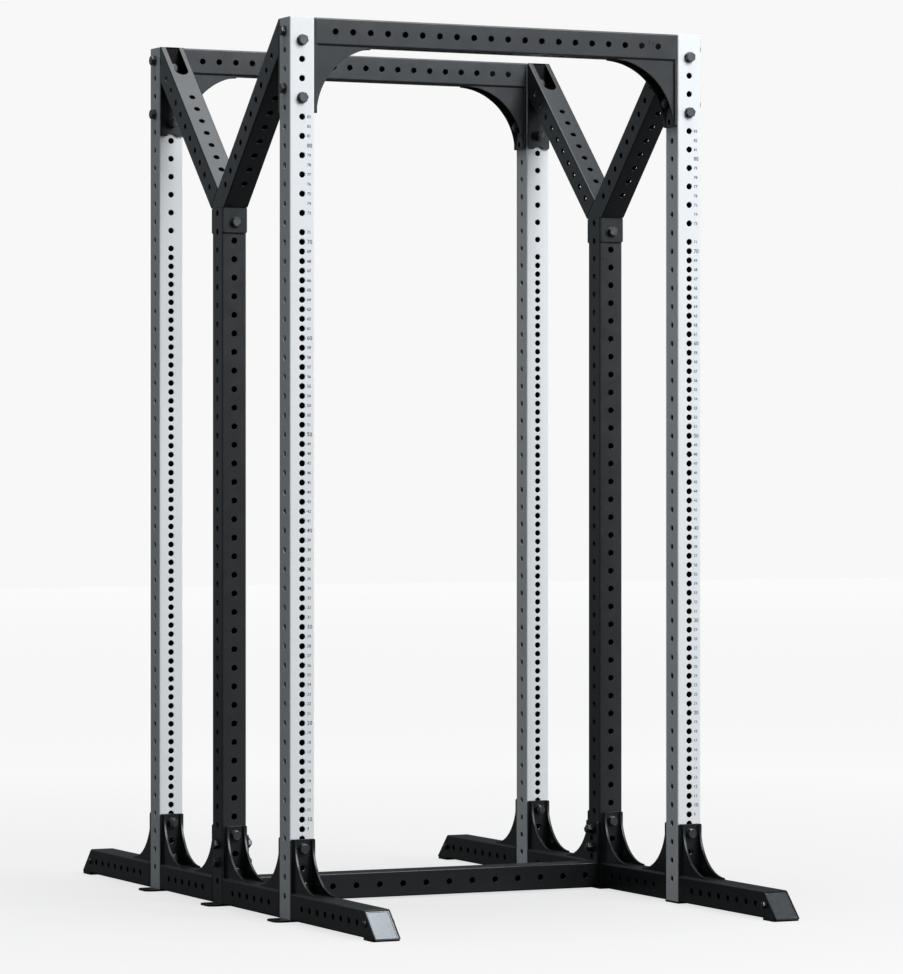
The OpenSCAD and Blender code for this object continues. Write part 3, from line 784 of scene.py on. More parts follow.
def stadium(width, reach):
    """Outline of a slot with one round end, open at x = 0 and reaching to x = reach"""
    half = width / 2
    points = [(0, -half)]
    for i in range(ROUND_SIDES + 1):
        angle = -math.pi / 2 + math.pi * i / ROUND_SIDES
        points.append((reach - half + half * math.cos(angle), half * math.sin(angle)))
    return points + [(0, half)]


def cross_ends(sizes):
    """Places of the left and the right end of a crossmember"""
    return Matrix.Translation((-sizes.post_x, 0, 0)), Matrix.Translation((sizes.post_x, 0, 0)) @ MIRROR_X


def top_crossmember_mesh(sizes, plan, coat):
    """Crossmember along X with gusseted end flanges, its middle on the Z axis"""
    inner = sizes.post_x - sizes.tube / 2
    tube_z = sizes.post_top - sizes.tube / 2
    half = inner - sizes.flange / 2
    below_hole, below_flange, under_tube, from_flange, tip = 0.013, 0.008, 0.003, 0.001, 0.007
    slot_reach, row_margin = 0.07, 0.06
    low = hole_z(sizes, plan.top - 8) - below_hole
    arc_z = low - below_flange
    arc_r = sizes.post_top - sizes.tube - under_tube - arc_z
    arc_x = sizes.tube / 2 + sizes.flange + from_flange + arc_r
    far_x = arc_x - tip
    axis = Matrix.Translation((0, 0, tube_z)) @ ALONG_X
    base = moved(tube_mesh(sizes, -half, half), axis)
    parts, welds = [], []
    ends = cross_ends(sizes)
    paths = end_weld_paths(sizes, sizes.post_top - sizes.tube, far_x, low)
    for end in ends:
        parts.append(moved(flange_mesh(sizes, low, sizes.post_top), end))
        gussets = gusset_meshes(sizes, far_x, sizes.post_top - sizes.tube, low, arc_r, arc_x, arc_z)
        parts += [moved(g, end) for g in gussets]
        welds += [[end @ Vector(p) for p in path] for path in paths]
    mesh = combined(base, parts, "UNION")
    slots = []
    for end in ends:
        slot = slab(stadium(SLOT_WIDTH, slot_reach), 2 * (sizes.wall + SLACK), 0)
        place = Matrix.Translation((sizes.tube / 2 + sizes.flange, 0, sizes.post_top))
        slots.append(moved(slot, end @ place))
    mesh = combined(mesh, slots, "DIFFERENCE")
    step = 2 * sizes.pitch
    fronts = 2 * (int((inner - row_margin - sizes.pitch) / step) + 1)
    tops = 2 * int((inner - row_margin) / step) + 1
    rows = [
        ((-(fronts - 1) / 2 * step, 0, tube_z), (step, 0, 0), fronts, TURN_Y, sizes.tube, sizes.hole),
        ((-(tops - 1) / 2 * step, 0, tube_z), (step, 0, 0), tops, TURN_Z, sizes.tube, sizes.hole),
    ]
    for side in (-1, 1):
        x = side * (inner - sizes.flange / 2)
        for first, holes in ((plan.top - 8, 3), (plan.top, 1)):
            start = (x, 0, hole_z(sizes, first))
            rows.append((start, (0, 0, step), holes, TURN_X, sizes.flange, sizes.hole))
    lined = line_inside_with_painted_shade(punched(mesh, rows, sizes, coat), sizes, (axis,))
    return joined([lined, weld_mesh(sizes, welds, coat)])


def bottom_crossmember_mesh(sizes, coat):
    """Crossmember between the middle uprights, with flat end flanges"""
    inner = sizes.post_x - sizes.tube / 2
    tube_z = hole_z(sizes, 1)
    half = inner - sizes.flange / 2
    base = moved(tube_mesh(sizes, -half, half), Matrix.Translation((0, 0, tube_z)) @ ALONG_X)
    spacing, holes, above_hole, weld_reach = 0.07, 15, 0.024, 0.03
    first = (-(holes - 1) / 2 * spacing, 0, tube_z)
    parts, welds = [], []
    rows = [(first, (spacing, 0, 0), holes, TURN_Y, sizes.tube, sizes.hole)]
    for end in cross_ends(sizes):
        parts.append(moved(flange_mesh(sizes, sizes.post_bottom, hole_z(sizes, 6) + above_hole), end))
        x = (end @ Vector((sizes.tube / 2 + sizes.flange / 2, 0, 0))).x
        start = (x, 0, hole_z(sizes, 3))
        rows.append((start, (0, 0, sizes.pitch), 4, TURN_X, sizes.flange, sizes.hole))
        face = sizes.tube / 2 + sizes.flange
        top = sizes.post_bottom + sizes.tube
        welds.append([end @ Vector((face, y, top)) for y in (-weld_reach, weld_reach)])
    mesh = combined(base, parts, "UNION")
    return joined([punched(mesh, rows, sizes, coat), weld_mesh(sizes, welds, coat)])


def brace_mesh(sizes, plan, coat):
    """Y-brace in the frame of its middle upright"""
    angle = math.pi / 4
    reach = sizes.post_y - sizes.tube / 2 - sizes.flange
    run = reach / math.cos(angle)
    saddle_y = sizes.tube / 2 + sizes.flange
    turn = Matrix.Rotation(-math.pi / 2 - angle, 4, "X")
    arm = Matrix.Translation((0, -reach, sizes.post_top)) @ turn
    spare = 2 * sizes.tube
    centre = Matrix.Translation((0, sizes.tube / 2, 0))
    front = moved(tube_mesh(sizes, -spare, run + spare), arm @ centre)
    rear = copy_moved(front, MIRROR_Y)
    far = run + 4 * spare
    under_rear = moved(block((-spare, sizes.tube, -far), (spare, far, far)), MIRROR_Y @ arm)
    under_front = moved(block((-spare, 0, -far), (spare, far, far)), arm)
    limit_y = reach + sizes.flange / 2
    limit = block((-spare, -limit_y, sizes.middle_top), (spare, limit_y, sizes.post_top))
    front = combined(combined(front, [under_rear], "DIFFERENCE"), [limit.copy()], "INTERSECT")
    rear = combined(combined(rear, [under_front], "DIFFERENCE"), [limit], "INTERSECT")
    quarter = Matrix.Rotation(math.pi / 2, 4, "Z")
    saddle_drop, notch_rise, notch_radius, notch_shoulder, notch_over = 0.029, 0.012, 0.02, 0.006, 0.005
    side_first, top_first, slot_reach = 0.0975, 0.2125, 0.1175
    saddle_low = hole_z(sizes, plan.middle_front) - saddle_drop
    low = hole_z(sizes, plan.top - 9) + notch_rise
    notch = slab(notch_outline(notch_rise, notch_radius, notch_shoulder, notch_over), 4 * sizes.flange, 0)
    notch_place = Matrix.Translation((0, sizes.tube / 2 + sizes.flange / 2, low))
    notch = moved(notch, notch_place @ Matrix.Rotation(math.pi / 2, 4, "X"))
    parts = [rear]
    rows = []
    for mirror in (Matrix(), MIRROR_Y):
        flange = moved(flange_mesh(sizes, low, sizes.post_top), quarter)
        flange = combined(flange, [notch.copy()], "DIFFERENCE")
        parts.append(moved(flange, mirror @ Matrix.Translation((0, -sizes.post_y, 0))))
        parts.append(moved(flange_mesh(sizes, saddle_low, sizes.middle_top), mirror @ quarter))
        place = mirror @ arm
        along = place.to_3x3() @ Vector((0, 0, 2 * sizes.pitch))
        tilt = -angle if mirror == Matrix() else angle
        half = sizes.tube / 2
        rows.append((place @ Vector((0, half, side_first)), along, 10, TURN_X, sizes.tube, sizes.hole))
        rows.append((place @ Vector((0, half, top_first)), along, 7, (tilt, 0, 0), sizes.tube, sizes.hole))
        y = (mirror @ Vector((0, -(sizes.post_y - half - sizes.flange / 2), 0))).y
        start = (0, y, hole_z(sizes, plan.top - 7))
        rows.append((start, (0, 0, 6 * sizes.pitch), 2, TURN_Y, sizes.flange, sizes.hole))
    start = (0, 0, hole_z(sizes, plan.middle_front))
    rows.append((start, (0, 0, 0), 1, TURN_Y, 2 * saddle_y, sizes.hole))
    mesh = combined(front, parts, "UNION")
    slots = []
    for mirror in (Matrix(), MIRROR_Y):
        slot = slab(stadium(SLOT_WIDTH, slot_reach), 2 * (sizes.wall + SLACK), 0)
        lay = Matrix(((0, 1, 0, 0), (0, 0, 1, 0), (1, 0, 0, 0), (0, 0, 0, 1)))
        slots.append(moved(slot, mirror @ arm @ lay))
    mesh = combined(mesh, slots, "DIFFERENCE")
    axes = (arm @ centre, MIRROR_Y @ arm @ centre)
    return line_inside_with_painted_shade(punched(mesh, rows, sizes, coat), sizes, axes)


def base_end(sizes):
    """Sizes of the gusseted flange of a base tube: top of the flange and arc"""
    over_tube, from_flange = 0.005, 0.007
    top = hole_z(sizes, 8)
    arc_r = top - sizes.post_bottom - sizes.tube - over_tube
    arc_x = sizes.tube / 2 + sizes.flange + from_flange + arc_r
    return top, arc_r, arc_x


def base_end_parts(sizes, end):
    """Flange and gussets of a base tube, and the paths of their welds"""
    top, arc_r, arc_x = base_end(sizes)
    tube_z = sizes.post_bottom + sizes.tube
    parts = [moved(flange_mesh(sizes, sizes.post_bottom, top), end)]
    parts += [moved(g, end) for g in gusset_meshes(sizes, arc_x, tube_z, top, arc_r, arc_x, top)]
    paths = end_weld_paths(sizes, tube_z, arc_x, top)
    return parts, [[end @ Vector(p) for p in path] for path in paths]


def base_end_row(sizes, end):
    """Row of holes in the flange of a base tube"""
    start = end @ Vector((sizes.tube / 2 + sizes.flange / 2, 0, hole_z(sizes, 3)))
    return (start, (0, 0, 2 * sizes.pitch), 3, TURN_X, sizes.flange, sizes.hole)


def base_tube(sizes, start, end):
    """Plain base tube along +X"""
    return moved(tube_mesh(sizes, start, end), Matrix.Translation((0, 0, hole_z(sizes, 1))) @ ALONG_X)


def foot_mesh(sizes, coat):
    """Foot along +X from an upright at the origin, with a slanted end"""
    over, tip_hole = 0.01, 0.0105
    end_x = sizes.tube / 2 + sizes.foot
    low, high = sizes.post_bottom, sizes.post_bottom + sizes.tube
    tip_x = end_x + sizes.tube
    side = [(0, low - over), (tip_x + over, low - over), (end_x - over, high + over), (0, high + over)]
    trim = moved(slab(side, 2 * sizes.tube, 0), Matrix.Rotation(math.pi / 2, 4, "X"))
    base = base_tube(sizes, sizes.tube / 2 + sizes.flange / 2, tip_x + SLACK)
    base = combined(base, [trim], "INTERSECT")
    parts, paths = base_end_parts(sizes, Matrix())
    mesh = combined(base, parts, "UNION")
    z = hole_z(sizes, 1)
    step = 2 * sizes.pitch
    x = sizes.tube / 2 + sizes.foot_first
    rows = [
        ((x, 0, z), (step, 0, 0), FOOT_HOLES, TURN_Y, sizes.tube, sizes.hole),
        ((x + FOOT_HOLES * step, 0, z), (0, 0, 0), 1, TURN_Y, sizes.tube, tip_hole),
        base_end_row(sizes, Matrix()),
    ]
    return joined([punched(mesh, rows, sizes, coat), weld_mesh(sizes, paths, coat)])


def side_rail_mesh(sizes, coat):
    """Side rail along +X from an upright at the origin to the next one"""
    start_x = sizes.tube / 2 + sizes.flange / 2
    base = base_tube(sizes, start_x, sizes.post_y - start_x)
    far_end = Matrix.Translation((sizes.post_y, 0, 0)) @ MIRROR_X
    near_parts, near_paths = base_end_parts(sizes, Matrix())
    far_parts, far_paths = base_end_parts(sizes, far_end)
    mesh = combined(base, near_parts + far_parts, "UNION")
    step = 2 * sizes.pitch
    holes = 6
    first = (sizes.post_y / 2 - (holes - 1) / 2 * step, 0, hole_z(sizes, 1))
    rows = [
        (first, (step, 0, 0), holes, TURN_Y, sizes.tube, sizes.hole), base_end_row(sizes, Matrix()),
        base_end_row(sizes, far_end),
    ]
    return joined([punched(mesh, rows, sizes, coat), weld_mesh(sizes, near_paths + far_paths, coat)])


def at_post(sizes, x, y, turn=Matrix()):
    """Place at an upright: x is -1 or 1, y is -1, 0 or 1"""
    return Matrix.Translation((x * sizes.post_x, y * sizes.post_y, 0)) @ turn


def along_y(y):
    """Turns what runs along +X so that it runs to the front (-1) or the rear (1)"""
    return Matrix.Rotation(y * math.pi / 2, 4, "Z")


def at_corners(name, node, mesh, sizes, row=1, turned=True):
    """A copy of the mesh at each corner upright, or from the middle ones outwards where row is 0"""
    for end, y in ENDS:
        for side, x in SIDES:
            place = at_post(sizes, x, y * row, along_y(y) if turned else Matrix())
            piece(f"{name}_{end}_{side}", copy_moved(mesh, place), (f"{node}_{end}_{side}",))


# ---------------------------------------------------------------- finishes


def ranged(tree, value, start, end, low, high):
    """Runs from low to high while the value runs from start to end"""
    values = {"Value": value, 1: start, 2: end, 3: low, 4: high}
    return add_node(tree, "ShaderNodeMapRange", values).outputs[0]


def mapped(tree, value, low, high):
    """The value, from 0 to 1, stretched to run from low to high"""
    return ranged(tree, value, 0.0, 1.0, low, high)


def toned(tree, given, tone):
    """The given colour made lighter or darker by a tone"""
    return add_node(
        tree, "ShaderNodeVectorMath", {0: given["Colour"], "Scale": tone}, operation="SCALE"
    ).outputs["Vector"]


def end_surface(tree, given, out, tone, shift, height):
    """Ends a group in its toned colour, its shifted roughness and its height"""
    change = math_node(tree, "MULTIPLY", shift, given["Roughness Change"])
    rough = math_node(tree, "ADD", given["Roughness"], change)
    for name, value in (("Colour", toned(tree, given, tone)), ("Roughness", rough), ("Height", height)):
        tree.links.new(value, out[name])


def tone_range(tree, given, name):
    """The lowest and highest tone of a change of colour"""
    return math_node(tree, "SUBTRACT", 1.0, given[name]), math_node(tree, "ADD", 1.0, given[name])


def noise(tree, vector, scale, detail=2.0, roughness=0.5):
    return add_node(
        tree, "ShaderNodeTexNoise",
        {"Vector": vector, "Scale": scale, "Detail": detail, "Roughness": roughness},
    ).outputs[0]


def powder_group():
    """Powder coat: fine orange peel, a slow change of colour, and handling marks that polish it"""
    tree, given, out = shader_group(
        "Powder Coat",
        [
            ("Peel Scale", "Float", 620.0),
            ("Mottle", "Float", 0.05),
            ("Roughness", "Float", 0.4),
            ("Roughness Change", "Float", 0.06),
        ],
        [("Colour", "Color"), ("Roughness", "Float"), ("Height", "Float")],
    )
    slow = noise(tree, given["Vector"], 7.0, 3.0)
    fine = noise(tree, given["Vector"], 1900.0, 1.0)
    peel = noise(tree, given["Vector"], given["Peel Scale"], 2.0, 0.6)
    low, high = tone_range(tree, given, "Mottle")
    tone = math_node(tree, "MULTIPLY", mapped(tree, slow, low, high), mapped(tree, fine, low, high))
    shift = mapped(tree, noise(tree, given["Vector"], 23.0, 4.0), -1.0, 1.0)
    height = math_node(tree, "ADD", peel, math_node(tree, "MULTIPLY", fine, 0.25))
    end_surface(tree, given, out, tone, shift, height)
    return tree


def dust_group():
    """Fine dust that settles on faces that look up"""
    tree, given, out = shader_group(
        "Settled Dust",
        [("Dust Colour", "Color", (0.24, 0.26, 0.27, 1)), ("Amount", "Float", 0.04)],
        [("Colour", "Color")],
    )
    normal = add_node(tree, "ShaderNodeNewGeometry").outputs["Normal"]
    upward = add_node(tree, "ShaderNodeSeparateXYZ", {0: normal}).outputs["Z"]
    facing = math_node(tree, "POWER", math_node(tree, "MAXIMUM", upward, 0.0), 2.0)
    patchy = mapped(tree, noise(tree, given["Vector"], 60.0, 5.0, 0.6), 0.3, 1.0)
    amount = math_node(tree, "MULTIPLY", math_node(tree, "MULTIPLY", facing, patchy), given["Amount"])
    mixed = add_node(
        tree, "ShaderNodeMix", {0: amount, 6: given["Colour"], 7: given["Dust Colour"]}, data_type="RGBA"
    )
    tree.links.new(mixed.outputs[2], out["Colour"])
    return tree


def metal_group():
    """Plated or pressed metal: cloudy colour and fine drawn lines along one direction"""
    tree, given, out = shader_group(
        "Worked Metal",
        [
            ("Line Stretch", "Vector", (1.0, 1.0, 1.0)),
            ("Cloud", "Float", 0.12),
            ("Roughness", "Float", 0.35),
            ("Roughness Change", "Float", 0.1),
        ],
        [("Colour", "Color"), ("Roughness", "Float"), ("Height", "Float")],
    )
    stretched = add_node(
        tree, "ShaderNodeVectorMath", {0: given["Vector"], 1: given["Line Stretch"]}, operation="MULTIPLY"
    ).outputs[0]
    lines = noise(tree, stretched, 900.0, 2.0)
    cloud = noise(tree, given["Vector"], 85.0, 4.0)
    tone = mapped(tree, cloud, *tone_range(tree, given, "Cloud"))
    shift = mapped(tree, math_node(tree, "MULTIPLY", math_node(tree, "ADD", lines, cloud), 0.5), -1.0, 1.0)
    end_surface(tree, given, out, tone, shift, lines)
    return tree


def finish_base(name, metallic):
    """A new material with its shader: its tree, shader and object coordinates"""
    material = bpy.data.materials.new(name)
    material.use_nodes = True
    tree = material.node_tree
    shader = next(n for n in tree.nodes if n.type == "BSDF_PRINCIPLED")
    shader.inputs["Metallic"].default_value = metallic
    vector = add_node(tree, "ShaderNodeTexCoord").outputs["Object"]
    return material, tree, shader, vector


def grouped(tree, group, inputs):
    made = tree.nodes.new("ShaderNodeGroup")
    made.node_tree = group
    made.location = (-500, 0)
    for key, value in inputs.items():
        if isinstance(value, bpy.types.NodeSocket):
            tree.links.new(value, made.inputs[key])
        else:
            made.inputs[key].default_value = value
    return made.outputs


def bump(tree, shader, height, strength, distance):
    made = add_node(tree, "ShaderNodeBump", {"Strength": strength, "Distance": distance, "Height": height})
    tree.links.new(made.outputs["Normal"], shader.inputs["Normal"])


def powder_coat(name, tint, roughness, dust, peel=0.00004, mottle=0.05, shine=0.5):
    material, tree, shader, vector = finish_base(name, 0.0)
    shader.inputs["Specular IOR Level"].default_value = shine
    shader.inputs["Specular Tint"].default_value = SHEEN_TINT
    coat = grouped(
        tree, tree_named("Powder Coat", powder_group),
        {"Vector": vector, "Colour": (*tint, 1), "Roughness": roughness, "Mottle": mottle},
    )
    dusty = grouped(
        tree, tree_named("Settled Dust", dust_group),
        {"Vector": vector, "Colour": coat["Colour"], "Amount": dust},
    )
    tree.links.new(dusty["Colour"], shader.inputs["Base Color"])
    tree.links.new(coat["Roughness"], shader.inputs["Roughness"])
    bump(tree, shader, coat["Height"], 0.35, peel)
    return material


def worked_metal(name, tint, roughness, stretch, cloud=0.12, depth=0.00002):
    material, tree, shader, vector = finish_base(name, 1.0)
    metal = grouped(
        tree, tree_named("Worked Metal", metal_group),
        {
            "Vector": vector, "Colour": (*tint, 1), "Roughness": roughness,
            "Line Stretch": stretch, "Cloud": cloud,
        },
    )
    tree.links.new(metal["Colour"], shader.inputs["Base Color"])
    tree.links.new(metal["Roughness"], shader.inputs["Roughness"])
    bump(tree, shader, metal["Height"], 0.3, depth)
    return material


def finish(name):
    """One of the cage's finishes, made when it is first asked for"""
    made = bpy.data.materials.get(name)
    if made:
        return made
    colours = bpy.context.scene.cage_colours
    silver, black = colours.silver_gloss, colours.black_gloss
    makers = {
        "Silver Powder Coat": lambda n: powder_coat(n, colours.silver, silver, 0.02, mottle=0.012),
        "Black Powder Coat": lambda n: powder_coat(n, colours.black, black, 0.03),
        "Brace Powder Coat": lambda n: powder_coat(n, colours.brace, black, 0.015),
        # Crossmembers: a lighter black, partly painted light for their brighter sheen up high
        "Crossmember Powder Coat": lambda n: powder_coat(n, colours.crossmember, black, 0.03),
        "Dark Zinc": lambda n: worked_metal(n, colours.zinc, 0.34, EVEN),
        "Pressed Cap Steel": lambda n: worked_metal(n, colours.cap, 0.22, DRAWN_ALONG_X, cloud=0.05),
        "Base Powder Coat": lambda n: powder_coat(n, colours.base, black, 0.015, shine=0.36),
        # Dark tube lining: bare steel, and painted shade in the holes
        "Bare Tube Inside": lambda n: worked_metal(n, colours.inside, 0.7, EVEN),
        "Shoe Rubber": lambda n: powder_coat(n, colours.rubber, 0.72, 0.05, peel=0.00009, mottle=0.12),
        "Plug Plastic": lambda n: powder_coat(n, colours.rubber, 0.5, 0.05, peel=0.00003),
        "Number Print": lambda n: powder_coat(n, colours.ink, 0.55, 0.0, peel=0.00001, mottle=0.1),
    }
    return makers[name](name)


# ---------------------------------------------------------------- fasteners


def hexagon(flats, z, chamfer_from=None, way=1):
    """Ring of a hexagon; points beyond the chamfer circle drop away from the end face"""
    ring = []
    for i in range(ROUND_SIDES):
        angle = math.tau * i / ROUND_SIDES
        local = (angle + math.pi / 6) % (math.pi / 3) - math.pi / 6
        radius = flats / 2 / math.cos(local)
        drop = 0 if chamfer_from is None else max(0.0, radius - chamfer_from) * math.tan(math.pi / 6)
        ring.append((radius * math.cos(angle), radius * math.sin(angle), z - way * drop))
    return ring


def threaded(radius, start, end, pitch=0.002, depth=0.0006):
    """Rings of a thread from one height to the other, with a pointed end"""
    rings = [circle(radius, start)]
    turns = max(1, round((end - 0.001 - start) / pitch))
    step = (end - 0.001 - start) / turns
    for i in range(turns):
        rings.append(circle(radius - depth, start + (i + 0.5) * step))
        rings.append(circle(radius, start + (i + 1) * step))
    rings.append(circle(radius - 0.001, end))
    return rings


def bolt_mesh(grip):
    """Hexagon bolt along +Z whose clamped stack starts at z = 0"""
    head, tail, start = 0.010, 0.004, 0.0005
    top = -WASHER - head
    face = CHAMFER_SHARE * BOLT_FLATS / 2
    rings = [
        circle(face * 0.86, top + 0.0004),
        circle(face * 0.9, top),
        circle(face, top),
        hexagon(BOLT_FLATS, top, face, -1),
        hexagon(BOLT_FLATS, -WASHER),
        circle(BOLT_RADIUS, -WASHER),
        circle(BOLT_RADIUS, grip + WASHER),
    ]
    return ring_shell(rings + threaded(BOLT_RADIUS, grip + WASHER + start, grip + WASHER + NUT + tail))


def washers_mesh(grip):
    """The washers under a head and under its nut"""
    outer, bore, edge = 0.0145, BOLT_RADIUS + 0.00025, 0.0005
    discs = []
    for low in (-WASHER, grip):
        rings = [
            circle(bore, low),
            circle(outer - edge, low),
            circle(outer, low + edge),
            circle(outer, low + WASHER - edge),
            circle(outer - edge, low + WASHER),
            circle(bore, low + WASHER),
        ]
        discs.append(ring_shell(rings, caps=False))
    return joined(discs)


def nut_shell(low, top, flats, bore, lead=0.0):
    """Hexagon nut with both ends chamfered; the lead widens the far end of its bore"""
    face = CHAMFER_SHARE * flats / 2
    rings = [
        circle(bore, low),
        circle(face, low),
        hexagon(flats, low, face, -1),
        hexagon(flats, top, face, 1),
        circle(face, top),
        circle(bore + lead, top),
    ]
    if lead:
        rings.append(circle(bore, top - lead))
    return ring_shell(rings, caps=False)


def nut_mesh(grip):
    """Nut of a joint's bolt"""
    return nut_shell(grip + WASHER, grip + WASHER + NUT, BOLT_FLATS, BOLT_RADIUS, 0.001)


def tip_screw_mesh(grip):
    """Screw with a domed head and a hexagon socket"""
    head_radius, head, socket, socket_deep, rim = 0.009, 0.006, 0.006, 0.003, 0.0042
    rings = [hexagon(socket, socket_deep - head), hexagon(socket, 0.0002 - head), circle(rim, -head)]
    for i in range(1, CORNER_STEPS + 1):
        angle = math.pi / 2 * i / CORNER_STEPS
        rings.append(circle(rim + (head_radius - rim) * math.sin(angle), -head * math.cos(angle)))
    rings += [circle(TIP_SCREW_RADIUS, 0), circle(TIP_SCREW_RADIUS, grip)]
    return ring_shell(rings + threaded(TIP_SCREW_RADIUS, grip + 0.0005, grip + 0.010, 0.0015, 0.0005))


def tip_nut_mesh(grip):
    """Nut of the screw in a foot's tip"""
    return nut_shell(grip, grip + 0.008, 0.017, TIP_SCREW_RADIUS)


def placed_fasteners(name, mesh, places, seed, node):
    """Fasteners of one joint on their points: each place is (point, turn)"""
    if not places:
        raise RuntimeError(f"{name} has no places")
    points = bpy.data.meshes.new("points")
    points.from_pydata([tuple(p) for p, _ in places], [], [])
    turns = points.attributes.new("turn", "FLOAT_VECTOR", "POINT")
    for entry, (_, turn) in zip(turns.data, places):
        entry.vector = turn
    shape = holder_of(mesh)
    holder = holder_of(points)
    values = {"Fastener": shape, "Spin Seed": seed, "Finish": finish("Dark Zinc")}
    add_tree(holder, tree_named("Fasteners on Points", fastener_tree), values)
    made = evaluated(holder)
    bpy.data.objects.remove(shape)
    return piece(name, made, (node,))


def side_turn(x):
    """Points +Z inwards from the left (-1) or the right (1) side"""
    return (0, -x * math.pi / 2, 0)


def end_turn(y):
    """Points +Z inwards from the front (-1) or the rear (1)"""
    return (y * math.pi / 2, 0, 0)


def joint_places(sizes, plan):
    """Fastener places, grip and node prefix of every joint"""
    out_x = sizes.post_x + sizes.tube / 2
    saddle = sizes.tube / 2 + sizes.flange
    one, two = sizes.tube + sizes.flange, sizes.tube + 2 * sizes.flange

    def z(n):
        return hole_z(sizes, n)

    cross = [
        ((x * out_x, y * sizes.post_y, z(n)), side_turn(x))
        for _, x in SIDES for _, y in ENDS for n in (plan.top, plan.top - 6)
    ]
    upper = [
        ((x * sizes.post_x, y * (sizes.post_y + sizes.tube / 2), z(n)), end_turn(y))
        for _, x in SIDES for _, y in ENDS for n in (plan.top - 1, plan.top - 7)
    ]
    middle = [((x * sizes.post_x, -saddle, z(plan.middle_front)), end_turn(-1)) for _, x in SIDES]
    base = []
    for _, x in SIDES:
        for _, y in ROWS:
            side = 1 if y > 0 else -1
            for n in (7, 3):
                base.append(((x * sizes.post_x, y * sizes.post_y + side * saddle, z(n)), end_turn(side)))
    bottom = [((x * out_x, 0, z(n)), side_turn(x)) for _, x in SIDES for n in (6, 4)]
    return {
        "crossmember": (cross, one),
        "brace_upper": (upper, one),
        "brace_saddle": (middle, two),
        "base": (base, two),
        "bottom_crossmember": (bottom, one),
    }


# ---------------------------------------------------------------- operators


class CAGE_OT_outer_uprights(bpy.types.Operator):
    """Makes the four silver uprights with their two rows of holes"""

    bl_idname = "cage.outer_uprights"
    bl_label = "Outer Uprights"

    def execute(self, context):
        sizes = context.scene.cage_sizes
        plan = context.scene.cage_holes
        fronts = [(1, 1, plan.close_end), (plan.close_end + 2, 2, plan.top - 1)]
        rows = upright_rows(sizes, fronts, [(2, 2, plan.top)])
        tube = tube_mesh(sizes, sizes.post_bottom, sizes.post_top)
        coated = punched(tube, rows, sizes, finish("Silver Powder Coat"))
        # The dark lining inside is painted shade that makes the holes look black
        mesh = line_inside_with_painted_shade(coated, sizes)
        at_corners("outer_post", "upright", mesh, sizes, turned=False)
        return {"FINISHED"}


class CAGE_OT_middle_uprights(bpy.types.Operator):
    """Makes the two black middle uprights"""

    bl_idname = "cage.middle_uprights"
    bl_label = "Middle Uprights"

    def execute(self, context):
        sizes = context.scene.cage_sizes
        plan = context.scene.cage_holes
        rows = upright_rows(sizes, [(1, 2, plan.middle_front)], [(2, 2, plan.middle_side)])
        tube = tube_mesh(sizes, sizes.post_bottom, sizes.middle_top)
        mesh = punched(tube, rows, sizes, finish("Black Powder Coat"))
        for side, x in SIDES:
            place = copy_moved(mesh, at_post(sizes, x, 0))
            piece(f"middle_post_{side}", place, (f"upright_middle_{side}",))
        return {"FINISHED"}


class CAGE_OT_crossmembers(bpy.types.Operator):
    """Makes the two gusseted top crossmembers and the plain bottom one"""

    bl_idname = "cage.crossmembers"
    bl_label = "Crossmembers"

    def execute(self, context):
        sizes = context.scene.cage_sizes
        plan = context.scene.cage_holes
        mesh = top_crossmember_mesh(sizes, plan, finish("Crossmember Powder Coat"))
        for end, y in ENDS:
            place = copy_moved(mesh, at_post(sizes, 0, y))
            piece(f"crossmember_{end}", place, (f"top_crossmember_{end}",))
        low = bottom_crossmember_mesh(sizes, finish("Base Powder Coat"))
        piece("crossmember_bottom", low, ("bottom_crossmember",))
        return {"FINISHED"}


class CAGE_OT_braces(bpy.types.Operator):
    """Makes the two Y-shaped side braces"""

    bl_idname = "cage.braces"
    bl_label = "Y-Braces"

    def execute(self, context):
        sizes = context.scene.cage_sizes
        plan = context.scene.cage_holes
        mesh = brace_mesh(sizes, plan, finish("Brace Powder Coat"))
        for side, x in SIDES:
            place = copy_moved(mesh, at_post(sizes, x, 0))
            piece(f"side_brace_{side}", place, (f"y_brace_{side}",))
        return {"FINISHED"}


class CAGE_OT_base(bpy.types.Operator):
    """Makes the feet and the side rails"""

    bl_idname = "cage.base"
    bl_label = "Feet and Side Rails"

    def execute(self, context):
        sizes = context.scene.cage_sizes
        foot = foot_mesh(sizes, finish("Base Powder Coat"))
        rail = side_rail_mesh(sizes, finish("Base Powder Coat"))
        at_corners("long_foot", "foot", foot, sizes)
        at_corners("base_rail", "side_rail", rail, sizes, row=0)
        return {"FINISHED"}


class CAGE_OT_end_caps(bpy.types.Operator):
    """Makes the slanted end caps of the feet"""

    bl_idname = "cage.end_caps"
    bl_label = "End Caps"

    def execute(self, context):
        sizes = context.scene.cage_sizes
        slope, thick, recess, rim, dish, edge = math.pi / 4, 0.004, 0.0015, 0.0035, 0.0009, 0.0006
        inner = sizes.tube - 2 * sizes.wall
        corner = sizes.corner - sizes.wall

        def ring(inset, z):
            outline = plate_outline(inner - 2 * inset, inner / math.sin(slope) - 2 * inset, corner + edge)
            return [(x, y, z) for x, y in outline]

        rings = [ring(0, -thick), ring(0, -edge), ring(edge, 0), ring(rim, 0), ring(rim + dish, -dish)]
        mesh = ring_shell(rings)
        mesh.materials.append(finish("Pressed Cap Steel"))
        normal = Vector((math.sin(slope), 0, math.cos(slope)))
        up = Vector((-math.cos(slope), 0, math.sin(slope)))
        across = up.cross(normal)
        middle = Vector((sizes.tube + sizes.foot, 0, hole_z(sizes, 1))) - recess * normal
        frame_turn = Matrix((across, up, normal)).transposed().to_4x4()
        mesh = moved(mesh, Matrix.Translation(middle) @ frame_turn)
        at_corners("slanted_cap", "end_cap", mesh, sizes)
        return {"FINISHED"}


